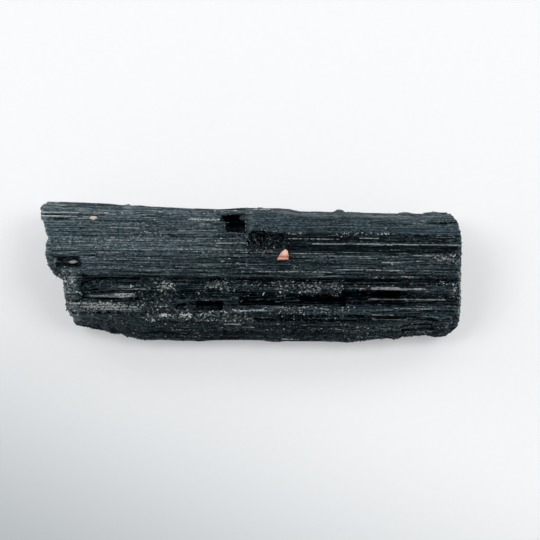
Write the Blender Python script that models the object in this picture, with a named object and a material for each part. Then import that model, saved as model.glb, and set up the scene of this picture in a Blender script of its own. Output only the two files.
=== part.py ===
"""A rough black tourmaline crystal, 100 mm long, lying on its flattest side.

The crystal is one solid. It starts as a box with a fine lattice of faces, which is wrapped onto a rounded
section, then carved: ledges and hollows at the places that a look from above shows, and long broken columns
all round. Three small grains of feldspar sit in sockets on its top.

Axes: +X along the crystal, +Y to the back edge, +Z up. The origin is under the middle of its box.
"""

from typing import NamedTuple

import bmesh
import bpy
import numpy as np
from mathutils import Vector

# Every length below is in millimetres, and MM turns it into metres.
MM = 0.001

# The middle of the crystal's box in the plan below, which becomes the part's origin
ORIGIN = (0.10, 0.59, 0.0)

# Driving dimensions
LENGTH = 100.0
HEIGHT = 22.4
GRAIN_SLOPE = -0.012
SEED = 41

# How finely the crystal is laid out before its flat stretches are thinned
CELLS_ALONG = 112
CELLS_ACROSS = 40
KEPT_FACES = 0.205
SOFTEST_EDGE = 0.55

# The section: how far across from the front edge, as a share of the width, and the height as a share of HEIGHT
SECTION = (
    (1.000, 0.480),
    (0.985, 0.690),
    (0.940, 0.870),
    (0.860, 0.965),
    (0.700, 1.000),
    (0.520, 0.985),
    (0.350, 0.935),
    (0.235, 0.850),
    (0.140, 0.690),
    (0.055, 0.460),
    (0.000, 0.290),
    (0.025, 0.130),
    (0.100, 0.025),
    (0.230, -0.012),
    (0.480, -0.016),
    (0.740, -0.010),
    (0.870, 0.045),
    (0.955, 0.190),
    (0.990, 0.330),
)
SECTION_STEPS = 12
SECTION_ROUNDNESS = 0.34
# Columns run straight where the surface's normal rises or falls by more than this
STRAIGHT_NORMAL = 0.5
MIDDLE_HEIGHT = 0.46

# The plan: back and front edges as (x, y), and the two broken ends as (y, x)
BACK_EDGE = (
    (-50.0, 17.3),
    (-35.0, 16.7),
    (-31.5, 16.4),
    (-29.0, 16.7),
    (-23.0, 16.7),
    (-8.0, 15.9),
    (-5.0, 16.1),
    (-2.0, 16.3),
    (7.0, 16.1),
    (11.0, 15.3),
    (24.0, 15.2),
    (29.5, 14.8),
    (42.0, 14.8),
    (45.0, 15.0),
    (50.4, 15.7),
)
FRONT_EDGE = (
    (-46.0, -12.4),
    (-42.0, -13.3),
    (-37.0, -13.9),
    (-32.0, -15.4),
    (-27.2, -15.9),
    (-19.9, -16.7),
    (-12.6, -16.8),
    (-9.0, -16.4),
    (-0.4, -16.4),
    (9.4, -16.9),
    (19.0, -16.9),
    (27.0, -15.7),
    (36.0, -15.2),
    (43.5, -14.8),
    (50.4, -14.8),
)
LEFT_END = (
    (-14.6, -39.5),
    (-13.5, -42.0),
    (-12.0, -43.0),
    (-8.8, -43.9),
    (-7.2, -44.1),
    (-1.9, -44.3),
    (-0.5, -46.4),
    (1.0, -47.1),
    (2.4, -48.4),
    (3.8, -48.7),
    (6.6, -48.3),
    (8.0, -47.6),
    (9.5, -48.4),
    (11.9, -49.2),
    (12.4, -49.8),
    (15.1, -49.9),
    (15.9, -49.3),
    (17.2, -48.4),
)
RIGHT_END = (
    (-15.4, 46.9),
    (-14.6, 47.8),
    (-13.2, 49.3),
    (-11.7, 49.8),
    (-7.0, 50.2),
    (4.0, 50.2),
    (8.4, 50.1),
    (12.0, 49.2),
    (13.6, 47.8),
    (14.8, 47.1),
)
# Neither end reaches past this
END_LIMIT = 50.4
# The right end leans out a little below its middle, by this much for each millimetre down
LEAN_PER_MM = 0.12
MOST_LEAN = 0.1
# The ends are broken into blocks, seated between these two (y, z) corners. The right end is the flatter one.
END_BLOCKS = 46
END_ROUGHNESS = 0.5
RIGHT_END_SHARE = 0.4
END_LOWEST = (-16.8, 0.0)
END_HIGHEST = (16.9, 22.4)


class Patch(NamedTuple):
    """A stretch of the top, from above: it stands proud by rise, or is sunk where rise is negative."""

    left: float
    right: float
    front: float
    back: float
    rise: float
    end_slope: float = 0.5
    front_slope: float = 0.5
    back_slope: float = 0.5


PATCHES = {
    "front terrace": Patch(-40.8, 60.0, -11.0, -1.2, -1.5, front_slope=3.5),
    "front terrace by the left end": Patch(-55.0, -40.8, -11.0, -7.1, -1.3, front_slope=3.5),
    "back slab, lower facet": Patch(-1.0, 60.0, 4.4, 30.0, 1.0, front_slope=2.2),
    "back slab, upper facet": Patch(-1.0, 60.0, 6.6, 30.0, 0.9, front_slope=2.3),
    "crystalline hollow": Patch(-0.8, 7.4, 5.6, 9.4, -2.0),
    "square pit": Patch(-6.2, -1.6, 9.3, 12.4, -4.2, back_slope=1.6),
    "notch behind the square pit": Patch(-6.9, -2.6, 12.4, 13.8, -1.2),
    "left pit": Patch(-46.6, -40.0, 1.1, 3.6, -1.3, end_slope=1.2),
    "left recess": Patch(-40.9, -27.1, -7.0, -1.2, -1.7),
    "rib in the left recess": Patch(-38.4, -26.0, -4.2, -2.8, 1.1),
    "front rib in the left recess": Patch(-38.0, -27.4, -6.4, -5.3, 0.9),
    "groove at the left of the ledge": Patch(-41.2, -36.0, -2.9, -1.3, -0.9),
    "groove under the ledge": Patch(-20.0, -9.0, -2.6, -1.3, -0.9),
    "long groove under the ledge": Patch(-9.0, 34.0, -2.3, -1.3, -0.5),
    "granular band": Patch(-44.5, -26.0, -9.5, -7.1, 0.8),
    "groove in front of the granular band": Patch(-44.0, -17.0, -10.4, -9.6, -0.8),
    "left hollow": Patch(-13.2, -6.8, -9.1, -6.8, -2.4, back_slope=1.5),
    "small hollow": Patch(-18.8, -15.6, -9.1, -7.5, -1.5),
    "long hollow": Patch(-3.4, 19.5, -8.2, -5.7, -2.9, end_slope=1.5, back_slope=1.7),
    "long hollow, right stretch": Patch(17.0, 36.0, -6.9, -4.5, -2.3, end_slope=1.5, back_slope=1.5),
    "front hollow": Patch(12.4, 21.2, -14.3, -13.2, -1.1),
    "fractured right part": Patch(27.9, 60.0, -17.0, -0.6, -0.4),
    "bright rib": Patch(27.9, 46.7, -4.6, -3.7, 0.6),
    "groove in front of the bright rib": Patch(30.0, 46.7, -6.3, -4.6, -0.8),
    "granular lump": Patch(-12.5, 21.0, -5.0, -2.4, 0.5, end_slope=1.5),
    "lump on the right": Patch(42.4, 49.0, 1.9, 4.3, 0.4, end_slope=1.0),
}

# The patches fade out on the lower flanks, between these shares of HEIGHT, and where the surface turns steep:
# they start at the lower upward normal and are whole at the higher one
PATCH_FADE_HEIGHTS = (0.2, 0.4)
PATCH_FADE_NORMALS = (0.05, 0.35)

# Columns: the long prisms that the crystal's sides break into
COLUMN_WIDTH = (1.9, 4.6)
COLUMN_LENGTH = (14.0, 48.0)
COLUMN_RISE = (-1.5, 0.2)
COLUMN_TILT = 0.16
# The share of their height that columns keep on the flat top, and along the back and front edges of the plan
TOP_SHARE = 0.2
EDGE_SHARE = 0.7

# The underside rests on a long flat land
LAND_HALF_LENGTH = 27.0
LAND_FRONT = -4.6
LAND_BACK = 3.4
LAND_RISE = 1.0


class Grain(NamedTuple):
    """A grain of feldspar: its middle, its height, and its outline about that middle as (x, y)."""

    x: float
    y: float
    height: float
    top_scale: float
    outline: tuple


CHIP = Grain(
    7.45, 4.1, 1.9, 0.62, ((-1.45, -1.15), (-0.5, 0.15), (0.25, 1.35), (1.2, 0.75), (1.35, -0.6), (1.3, -1.3))
)
SLIVER = Grain(
    -42.0, 2.4, 0.9, 0.7, ((-1.35, -0.15), (-0.7, 0.3), (0.6, 0.34), (1.35, 0.05), (0.6, -0.32), (-0.8, -0.36))
)
SPECK = Grain(
    -37.3, 12.7, 0.9, 0.65, ((-1.0, -0.1), (-0.3, 0.5), (0.7, 0.55), (1.0, 0.0), (0.2, -0.6), (-0.6, -0.5))
)
SOCKET_MARGIN = 0.45
SOCKET_DEPTH = 0.7
GRAIN_GAP = 0.35


def clear_scene():
    """Empties the scene."""
    for thing in list(bpy.data.objects):
        bpy.data.objects.remove(thing, do_unlink=True)


def make_material(name, colour, roughness):
    """A plain material of one colour (linear red, green, blue)."""
    material = bpy.data.materials.new(name)
    material.use_nodes = True
    shader = material.node_tree.nodes["Principled BSDF"]
    shader.inputs["Base Color"].default_value = (*colour, 1.0)
    shader.inputs["Roughness"].default_value = roughness
    shader.inputs["Metallic"].default_value = 0.0
    return material


def add_object(name, mesh, collection, material):
    """Puts a mesh into the collection as a named object."""
    thing = bpy.data.objects.new(name, mesh)
    thing.data.materials.append(material)
    collection.objects.link(thing)
    return thing


def to_metres(place):
    """Turns a place in the plan, in millimetres, into one about the origin, in metres."""
    return (Vector(place) - Vector(ORIGIN)) * MM


def along(value, line):
    """Reads a line of (place, value) points at each place."""
    places, values = np.array(line).T
    return np.interp(value, places, values)


def ramp(value, start, width):
    """0 below start, rising straight to 1 over the width."""
    return np.clip((value - start) / width, 0.0, 1.0)


def closed_curve(points, steps, roundness):
    """A closed curve through the points, as an array of rows: straight at roundness 0, full at 0.5."""
    points = np.array(points)
    after = np.roll(points, -1, axis=0)
    lead = roundness * (after - np.roll(points, 1, axis=0))
    next_lead = np.roll(lead, -1, axis=0)
    rows = []
    for step in np.arange(steps) / steps:
        rows.append(
            (2 * step**3 - 3 * step**2 + 1) * points
            + (step**3 - 2 * step**2 + step) * lead
            + (3 * step**2 - 2 * step**3) * after
            + (step**3 - step**2) * next_lead
        )
    return np.stack(rows, axis=1).reshape(-1, points.shape[1])


class Section:
    """The crystal's rounded section, read by how far round it a point is, from 0 to 1."""

    def __init__(self):
        curve = closed_curve(SECTION, SECTION_STEPS, SECTION_ROUNDNESS)
        curve = np.vstack([curve, curve[:1]])
        width = along(0.0, BACK_EDGE) - along(0.0, FRONT_EDGE)
        walk = np.hypot(np.diff(curve[:, 0]) * width, np.diff(curve[:, 1]) * HEIGHT)
        self.travel = np.concatenate([[0.0], np.cumsum(walk)])
        self.perimeter = self.travel[-1]
        self.across, self.height = curve.T

    def place(self, turn, x):
        """(y, z) of the points at these turns in the sections at x."""
        travel = turn * self.perimeter
        front = along(x, FRONT_EDGE)
        back = along(x, BACK_EDGE)
        y = front + np.interp(travel, self.travel, self.across) * (back - front)
        z = np.interp(travel, self.travel, self.height) * HEIGHT
        return y, z

    def outward(self, turn, x):
        """The outward normal, as (y, z), at these turns."""
        step = 0.004
        y_on, z_on = self.place((turn + step) % 1.0, x)
        y_off, z_off = self.place((turn - step) % 1.0, x)
        run = np.hypot(y_on - y_off, z_on - z_off)
        return (z_on - z_off) / run, (y_off - y_on) / run

    def straight(self, turn, x):
        """How far round each place is, counted so that a straight line along the crystal keeps its count.

        The steep flanks follow the plan's edges instead.
        """
        y, _ = self.place(turn, x)
        reference, _ = self.place(turn, np.zeros_like(x))
        _, out_z = self.outward(turn, x)
        level = np.abs(out_z)
        slope = np.where(out_z < 0.0, -1.0, 1.0) * np.maximum(level, STRAIGHT_NORMAL)
        share = ramp(level, 0.1, STRAIGHT_NORMAL - 0.1)
        return turn * self.perimeter + share * (reference + GRAIN_SLOPE * x - y) / slope


def column_share(y, out_y, out_z):
    """The share of their height that the columns keep where the surface faces (out_y, out_z)."""
    top = ramp(out_z, 0.75, 0.15) * ramp(y, -2.0, 2.0)
    edge = ramp(np.abs(out_y), 0.8, 0.15)
    return (1.0 - (1.0 - TOP_SHARE) * top) * (1.0 - (1.0 - EDGE_SHARE) * edge)


def patch_relief(x, y):
    """How far the patches raise the top at (x, y)."""
    relief = np.zeros_like(x)
    for patch in PATCHES.values():
        middle = 0.5 * (max(patch.left, -LENGTH / 2) + min(patch.right, LENGTH / 2))
        level = y - GRAIN_SLOPE * (x - middle)
        end = max(patch.end_slope, SOFTEST_EDGE)
        share = ramp(x, patch.left, end) * ramp(-x, -patch.right, end)
        share = share * ramp(level, patch.front, max(patch.front_slope, SOFTEST_EDGE))
        share = share * ramp(-level, -patch.back, max(patch.back_slope, SOFTEST_EDGE))
        relief += share * patch.rise
    return relief


def column_relief(rng, travel, x, perimeter):
    """The height of the columns: each is a long strip, broken across here and there, with a tilted top."""
    edges = [0.0]
    while edges[-1] < perimeter - COLUMN_WIDTH[1]:
        edges.append(edges[-1] + rng.uniform(*COLUMN_WIDTH))
    edges.append(perimeter)
    edges = np.array(edges)
    column = np.clip(np.searchsorted(edges, travel, side="right") - 1, 0, len(edges) - 2)
    relief = np.zeros_like(x)
    for index in range(len(edges) - 1):
        breaks = [-LENGTH / 2 - rng.uniform(0.0, COLUMN_LENGTH[1])]
        while breaks[-1] < LENGTH / 2:
            breaks.append(breaks[-1] + rng.uniform(*COLUMN_LENGTH))
        rises = rng.uniform(*COLUMN_RISE, len(breaks))
        tilts = rng.uniform(-COLUMN_TILT, COLUMN_TILT, len(breaks))
        inside = column == index
        piece = np.searchsorted(np.array(breaks), x[inside], side="right") - 1
        centre = 0.5 * (edges[index] + edges[index + 1])
        relief[inside] = rises[piece] + tilts[piece] * (travel[inside] - centre)
    return relief


def end_relief(rng, y, z):
    """How far each end's broken columns stand out, as small blocks in the (y, z) plane."""
    seats = rng.uniform(END_LOWEST, END_HIGHEST, (END_BLOCKS, 2))
    rises = rng.uniform(-END_ROUGHNESS, END_ROUGHNESS, len(seats))
    gaps = np.hypot(y[:, None] - seats[:, 0], z[:, None] - seats[:, 1])
    return rises[np.argmin(gaps, axis=1)]


def make_lattice():
    """A box of side 2 about the origin, with its faces cut into a lattice."""
    lattice = bmesh.new()
    bmesh.ops.create_cube(lattice, size=2.0)
    for axis, cells in enumerate((CELLS_ALONG, CELLS_ACROSS, CELLS_ACROSS)):
        edges = []
        for edge in lattice.edges:
            run = edge.verts[1].co - edge.verts[0].co
            if abs(run[axis]) > max(abs(run[(axis + 1) % 3]), abs(run[(axis + 2) % 3])):
                edges.append(edge)
        bmesh.ops.subdivide_edges(lattice, edges=edges, cuts=cells - 1, use_grid_fill=True)
    return lattice


def turn_of(v, w):
    """How far round the square each lattice point is, from 0 to 1, starting at its back top corner."""
    reach = np.maximum(np.maximum(np.abs(v), np.abs(w)), 1e-9)
    v = v / reach
    w = w / reach
    edge = 1.0 - 1e-6
    turn = np.where(w >= edge, (1.0 - v) / 8, 0.0)
    turn = np.where((v <= -edge) & (w < edge), (3.0 - w) / 8, turn)
    turn = np.where((w <= -edge) & (v > -edge), (5.0 + v) / 8, turn)
    turn = np.where((v >= edge) & (w > -edge) & (w < edge), (7.0 + w) / 8, turn)
    return turn % 1.0, reach


def end_places(y, z):
    """Where the left and right ends lie at (y, z)."""
    rng = np.random.default_rng(SEED)
    lean = np.minimum(LEAN_PER_MM * (MIDDLE_HEIGHT * HEIGHT - z), MOST_LEAN)
    left = along(y, LEFT_END) + end_relief(rng, y, z)
    right = along(y, RIGHT_END) + RIGHT_END_SHARE * end_relief(rng, y, z) + lean
    return np.maximum(left, -END_LIMIT), np.minimum(right, END_LIMIT)


def carve(points):
    """Wraps the box's lattice points onto the crystal, in millimetres."""
    section = Section()
    share = 0.5 * (points[:, 0] + 1.0)
    turn, reach = turn_of(points[:, 1], points[:, 2])
    left, right = end_places(*section.place(turn, (share - 0.5) * LENGTH))
    x = left + share * (right - left)

    y, z = section.place(turn, x)
    out_y, out_z = section.outward(turn, x)
    rng = np.random.default_rng(SEED + 1)
    relief = column_relief(rng, section.straight(turn, x), x, section.perimeter)
    relief = relief * column_share(y, out_y, out_z)
    low, high = PATCH_FADE_HEIGHTS
    steep, level = PATCH_FADE_NORMALS
    upper = ramp(z, low * HEIGHT, (high - low) * HEIGHT) * ramp(out_z, steep, level - steep)
    land = (out_z < -0.8) & (y > LAND_FRONT) & (y < LAND_BACK) & (np.abs(x) < LAND_HALF_LENGTH)
    relief = np.where(land, LAND_RISE, relief)
    lift = upper * patch_relief(x, y)
    for grain in (CHIP, SLIVER, SPECK):
        lift = socket_lift(grain, x, y, relief, lift, out_z)
    y = y + relief * out_y
    z = z + relief * out_z + lift

    middle_y = 0.5 * (along(x, BACK_EDGE) + along(x, FRONT_EDGE))
    middle_z = MIDDLE_HEIGHT * HEIGHT
    y = middle_y + reach * (y - middle_y)
    z = np.maximum(middle_z + reach * (z - middle_z), 0.0)
    left, right = end_places(y, z)
    x = left + share * (right - left)
    return np.stack([x, y, z], axis=1)


def socket_lift(grain, x, y, relief, lift, out_z):
    """Levels the top round a grain and sinks a shallow socket for it."""
    reach = np.abs(np.array(grain.outline)).max(axis=0) + SOCKET_MARGIN
    inside = (np.abs(x - grain.x) < reach[0]) & (np.abs(y - grain.y) < reach[1]) & (out_z > 0.5)
    if not inside.any():
        return lift
    level = (relief + lift)[inside].mean() - SOCKET_DEPTH
    return np.where(inside, level - relief, lift)


def make_crystal(collection):
    """The crystal, as one carved solid."""
    lattice = make_lattice()
    points = np.array([vertex.co for vertex in lattice.verts])
    for vertex, place in zip(lattice.verts, carve(points)):
        vertex.co = to_metres(place)
    bmesh.ops.recalc_face_normals(lattice, faces=lattice.faces)
    mesh = bpy.data.meshes.new("crystal")
    lattice.to_mesh(mesh)
    lattice.free()
    crystal = add_object("crystal", mesh, collection, make_material("tourmaline", (0.014, 0.018, 0.020), 0.42))
    thin = crystal.modifiers.new("thin flat stretches", "DECIMATE")
    thin.ratio = KEPT_FACES
    return crystal


def floor_under(grain, crystal):
    """The lowest height of the crystal's top in the middle of a grain's socket, in millimetres."""
    graph = bpy.context.evaluated_depsgraph_get()
    evaluated = crystal.evaluated_get(graph)
    heights = []
    for dx, dy in grain.outline + ((0.0, 0.0),):
        start = to_metres((grain.x + dx, grain.y + dy, 2 * HEIGHT))
        hit, place, _, _ = evaluated.ray_cast(start, Vector((0.0, 0.0, -1.0)))
        if hit:
            heights.append(place.z / MM)
    return max(heights)


def make_grain(name, grain, crystal, collection, material):
    """A grain of feldspar: a prism on its outline that narrows upwards."""
    shape = bmesh.new()
    base = floor_under(grain, crystal) + GRAIN_GAP
    rows = []
    for height, scale in ((0.0, 0.92), (0.45, 1.0), (1.0, grain.top_scale)):
        row = []
        for dx, dy in grain.outline:
            place = (grain.x + dx * scale, grain.y + dy * scale, base + height * grain.height)
            row.append(shape.verts.new(to_metres(place)))
        rows.append(row)
    shape.faces.new(rows[0])
    shape.faces.new(rows[-1])
    for lower, upper in zip(rows, rows[1:]):
        for index, corner in enumerate(lower):
            following = (index + 1) % len(lower)
            shape.faces.new((corner, lower[following], upper[following], upper[index]))
    bmesh.ops.recalc_face_normals(shape, faces=shape.faces)
    mesh = bpy.data.meshes.new(name)
    shape.to_mesh(mesh)
    shape.free()
    return add_object(name, mesh, collection, material)


def main():
    """Builds the crystal and its grains."""
    clear_scene()
    bpy.context.scene.unit_settings.scale_length = 1.0
    collection = bpy.data.collections.new("black_tourmaline_crystal")
    bpy.context.scene.collection.children.link(collection)
    crystal = make_crystal(collection)
    bpy.context.view_layer.update()
    salmon = make_material("salmon feldspar", (0.80, 0.33, 0.23), 0.6)
    pale = make_material("pale feldspar", (0.72, 0.50, 0.44), 0.6)
    make_grain("feldspar_chip", CHIP, crystal, collection, salmon)
    make_grain("feldspar_sliver", SLIVER, crystal, collection, pale)
    make_grain("feldspar_speck", SPECK, crystal, collection, pale)


main()
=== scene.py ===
"""A rough black tourmaline crystal on a pale floor, seen from above as in the photograph.

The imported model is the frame. Its crystal and its three grains of feldspar are each replaced by a finer
piece on the same plan. The crystal keeps its section, ends, ledges, hollows and columns, and gains ribs,
striae, granular breaks and ragged edges. Fine ribs, flakes and broken grains stand on its skin, and pale
crumbs lie in its grooves.
"""

from __future__ import annotations

import logging
import math
from dataclasses import dataclass, field
from enum import Enum
from typing import NamedTuple

import bmesh
import bpy
import numpy as np
from mathutils import Euler, Matrix, Vector
from mathutils.bvhtree import BVHTree


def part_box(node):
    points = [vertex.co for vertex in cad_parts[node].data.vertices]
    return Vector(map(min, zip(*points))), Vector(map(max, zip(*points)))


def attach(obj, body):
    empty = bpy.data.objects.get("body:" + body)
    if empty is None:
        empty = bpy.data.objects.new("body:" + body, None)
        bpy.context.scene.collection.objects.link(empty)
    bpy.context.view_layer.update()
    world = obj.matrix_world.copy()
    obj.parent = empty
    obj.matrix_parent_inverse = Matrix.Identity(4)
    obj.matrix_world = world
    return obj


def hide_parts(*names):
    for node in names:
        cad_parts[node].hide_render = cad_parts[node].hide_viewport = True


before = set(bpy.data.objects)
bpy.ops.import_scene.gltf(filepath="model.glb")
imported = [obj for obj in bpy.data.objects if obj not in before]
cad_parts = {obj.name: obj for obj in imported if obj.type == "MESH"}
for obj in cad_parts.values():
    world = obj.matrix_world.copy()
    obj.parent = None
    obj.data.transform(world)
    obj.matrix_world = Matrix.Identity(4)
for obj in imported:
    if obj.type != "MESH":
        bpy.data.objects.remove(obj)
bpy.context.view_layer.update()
LOG = logging.getLogger("crystal")

# Lengths are in millimetres, as on a collector's label, and MM turns them into metres.
MM = 0.001
# The middle of the crystal's box in the plan below, which is the frame's origin
ORIGIN = (0.10, 0.59, 0.0)

Array = np.ndarray
Point = tuple[float, float]
Colour = tuple[float, float, float]
Piece = bpy.types.Object
Socket = bpy.types.NodeSocket
Dice = np.random.Generator


class Patch(NamedTuple):
    """A stretch of the top, from above: it stands proud by rise, or is sunk where rise is negative.

    Its ends are ragged by up to jag, rib by rib.
    """

    left: float
    right: float
    front: float
    back: float
    rise: float
    end_slope: float = 0.3
    front_slope: float = 0.16
    back_slope: float = 0.16
    jag: float = 1.6


class Zone(NamedTuple):
    """A stretch of the top with a granular broken surface: how coarse, how pale and how rusty it is."""

    left: float
    right: float
    front: float
    back: float
    grain: float
    pale: float
    rust: float = 0.0


class Region(NamedTuple):
    """A stretch of the top: how strong its ribs are, and how much dull dust and painted light it takes."""

    left: float
    right: float
    front: float
    back: float
    ribs: float
    dust_and_painted_light: float


def along(value: Array, line: tuple[Point, ...]) -> Array:
    """Reads a line of points at each place.

    Args:
        value: the places.
        line: points as (place, value), in order.

    Returns:
        The value at each place.
    """
    places, values = np.array(line).T
    return np.interp(value, places, values)


def ramp(value: Array, start: float, width: float) -> Array:
    """Rises straight from 0 at start to 1 over the width.

    Args:
        value: the places.
        start: where it leaves 0.
        width: how far it takes to reach 1.

    Returns:
        The share at each place.
    """
    return np.clip((value - start) / width, 0.0, 1.0)


def hashed(x: Array, y: Array, z: Array, seed: int) -> Array:
    """A fixed random number from -1 to 1 for each whole-numbered place.

    The large odd numbers mix the places' bits.

    Args:
        x, y, z: whole numbers.
        seed: which set of numbers.

    Returns:
        One number for each place.
    """
    mixed = (x * 73856093) ^ (y * 19349663) ^ (z * 83492791) ^ (seed * 2654435761)
    for shift, factor in ((15, 2246822519), (13, 3266489917)):
        mixed = ((mixed ^ (mixed >> shift)) * factor) & 0xFFFFFFFF
    return ((mixed ^ (mixed >> 16)) & 0xFFFFFF) / 8388607.5 - 1.0


def cloud(x: Array, y: Array, z: Array, seed: int) -> Array:
    """Smooth random hills one unit apart, from -1 to 1.

    Args:
        x, y, z: the places, already scaled.
        seed: which set of hills.

    Returns:
        The height at each place.
    """
    cells = [np.floor(part).astype(np.int64) for part in (x, y, z)]
    shares = []
    for part, cell in zip((x, y, z), cells):
        share = part - cell
        shares.append(share * share * (3.0 - 2.0 * share))
    total = np.zeros(np.broadcast(x, y, z).shape)
    for corner in range(8):
        steps = [corner & 1, (corner >> 1) & 1, (corner >> 2) & 1]
        weight = 1.0
        for share, step in zip(shares, steps):
            weight = weight * (share if step else 1.0 - share)
        total += weight * hashed(cells[0] + steps[0], cells[1] + steps[1], cells[2] + steps[2], seed)
    return total


def to_metres(places: Array) -> Array:
    """Turns places in the plan, in millimetres, into places about the origin, in metres."""
    return (np.asarray(places) - ORIGIN) * MM


def to_plan(places: Array) -> Array:
    """Turns places about the origin, in metres, into places in the plan, in millimetres."""
    return np.asarray(places) / MM + ORIGIN


def deselect() -> None:
    """Leaves nothing selected."""
    bpy.ops.object.select_all(action="DESELECT")


def take(piece: Piece) -> None:
    """Selects one piece alone and makes it active.

    Args:
        piece: the piece.
    """
    deselect()
    piece.select_set(True)
    bpy.context.view_layer.objects.active = piece


def apply_modifier(piece: Piece, name: str) -> None:
    """Applies the modifier of that name on the piece."""
    take(piece)
    bpy.ops.object.modifier_apply(modifier=name)


def apply_place(piece: Piece) -> None:
    """Moves the piece's place, turn and scale into its mesh."""
    take(piece)
    bpy.ops.object.transform_apply(location=True, rotation=True, scale=True)


def read_points(mesh: bpy.types.Mesh) -> Array:
    """Reads a mesh's points.

    Args:
        mesh: the mesh.

    Returns:
        The points, as rows of x, y, z.
    """
    points = np.empty(len(mesh.vertices) * 3)
    mesh.vertices.foreach_get("co", points)
    return points.reshape(-1, 3)


def crests(mesh: bpy.types.Mesh, points: Array, normals: Array) -> Array:
    """How far each point stands out from the middle of its neighbours.

    Args:
        mesh: the mesh.
        points: its points.
        normals: their normals.

    Returns:
        The distance along each normal, in the points' own unit.
    """
    pairs = np.empty(2 * len(mesh.edges), dtype=np.int64)
    mesh.edges.foreach_get("vertices", pairs)
    first, second = pairs.reshape(-1, 2).T
    ends = np.concatenate([first, second])
    others = np.concatenate([second, first])
    number = np.maximum(np.bincount(ends, minlength=len(points)), 1)
    sums = [np.bincount(ends, weights=points[others, axis], minlength=len(points)) for axis in range(3)]
    middles = np.stack(sums, axis=1) / number[:, None]
    return np.einsum("pa,pa->p", points - middles, normals)


def write_points(mesh: bpy.types.Mesh, points: Array) -> None:
    """Moves the mesh's points to these rows of x, y, z."""
    mesh.vertices.foreach_set("co", points.astype(np.float32).ravel())
    mesh.update()


def bisect(place: Vector, normal: Vector) -> None:
    """Cuts off what lies past a plane of the piece in edit mode, and closes the cut."""
    bpy.ops.mesh.select_all(action="SELECT")
    bpy.ops.mesh.bisect(plane_co=place, plane_no=normal, use_fill=True, clear_outer=True)


def cut_edges(piece: Piece, axis: int, shortest: float, cuts: int) -> None:
    """Cuts the edges of the piece in edit mode that run along one axis.

    Args:
        piece: the piece.
        axis: 0, 1 or 2 for X, Y or Z.
        shortest: only edges that run further than this are cut.
        cuts: how many cuts each of them gets.
    """
    bpy.ops.mesh.select_mode(type="EDGE")
    shape = bmesh.from_edit_mesh(piece.data)
    for edge in shape.edges:
        run = edge.verts[1].co - edge.verts[0].co
        edge.select_set(abs(run[axis]) > shortest)
    shape.select_flush_mode()
    bmesh.update_edit_mesh(piece.data)
    bpy.ops.mesh.subdivide(number_cuts=cuts)


@dataclass(frozen=True)
class Model:
    """A small shape's points and faces, ready to be copied in arrays."""

    points: Array
    faces: tuple[tuple[int, ...], ...]

    @classmethod
    def of(cls, thing: Piece) -> Model:
        """Reads the shape from an object, and removes the object.

        Args:
            thing: the object that was modelled.

        Returns:
            The model.
        """
        apply_place(thing)
        points = read_points(thing.data)
        faces = tuple(tuple(face.vertices) for face in thing.data.polygons)
        bpy.data.objects.remove(thing)
        return cls(points, faces)


class Copies:
    """Copies of small models, gathered in arrays and joined in one mesh with their own finish."""

    def __init__(self) -> None:
        """Starts with no copies."""
        self.points: list[Array] = []
        self.faces: list[list[int]] = []
        self.finish: list[Array] = []
        self.count = 0

    def add(self, model: Model, points: Array, finish: Array) -> None:
        """Adds copies of the model.

        Args:
            model: the shape.
            points: where their points lie, in millimetres, as (copy, point, axis).
            finish: how pale, rusty and broken each is and how much dust and painted light it takes, as (copy,
                share) or as (copy, point, share).
        """
        starts = self.count + len(model.points) * np.arange(len(points))
        for face in model.faces:
            self.faces.extend((starts[:, None] + np.array(face)).tolist())
        self.points.append(points.reshape(-1, 3))
        if finish.ndim == 2:
            finish = np.repeat(finish[:, None], len(model.points), axis=1)
        self.finish.append(finish.reshape(-1, 4))
        self.count += len(self.points[-1])

    def join(self, name: str, material: bpy.types.Material) -> Piece:
        """Makes the one mesh.

        Args:
            name: the piece's name.
            material: its material.

        Returns:
            The piece.
        """
        mesh = bpy.data.meshes.new(name)
        mesh.from_pydata(to_metres(np.vstack(self.points)).tolist(), [], self.faces)
        paint(mesh, np.vstack(self.finish))
        mesh.materials.append(material)
        piece = bpy.data.objects.new(name, mesh)
        bpy.context.scene.collection.objects.link(piece)
        return piece


def paint(mesh: bpy.types.Mesh, finish: Array) -> None:
    """Stores how pale, rusty and broken each point is, and how much dust and painted light it takes.

    Args:
        mesh: the mesh.
        finish: a row of the four shares for each point.
    """
    layer = mesh.color_attributes.new(name="finish", type="FLOAT_COLOR", domain="POINT")
    layer.data.foreach_set("color", np.clip(finish, 0.0, 1.0).astype(np.float32).ravel())


# The crystal's form, as in its solid
LENGTH = 100.0
HEIGHT = 22.4
GRAIN_SLOPE = -0.012
SEED = 41
SECTION = (
    (1.000, 0.480), (0.985, 0.690), (0.940, 0.870), (0.860, 0.965), (0.700, 1.000), (0.520, 0.985),
    (0.350, 0.935), (0.235, 0.850), (0.140, 0.690), (0.055, 0.460), (0.000, 0.290), (0.025, 0.130),
    (0.100, 0.025), (0.230, -0.012), (0.480, -0.016), (0.740, -0.010), (0.870, 0.045), (0.955, 0.190),
    (0.990, 0.330),
)
BACK_EDGE = (
    (-50.0, 17.3), (-35.0, 16.7), (-31.5, 16.4), (-29.0, 16.7), (-23.0, 16.7), (-8.0, 15.9),
    (-5.0, 16.1), (-2.0, 16.3), (7.0, 16.1), (11.0, 15.3), (24.0, 15.2), (29.5, 14.8),
    (42.0, 14.8), (45.0, 15.0), (50.4, 15.7),
)
FRONT_EDGE = (
    (-46.0, -12.4), (-42.0, -13.3), (-37.0, -14.6), (-32.0, -16.0), (-27.2, -16.6), (-19.9, -16.9),
    (-12.6, -17.0), (-9.0, -16.7), (-0.4, -16.7), (9.4, -17.0), (19.0, -17.0), (27.0, -16.3),
    (36.0, -15.4), (43.5, -14.8), (50.4, -14.8),
)
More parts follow.
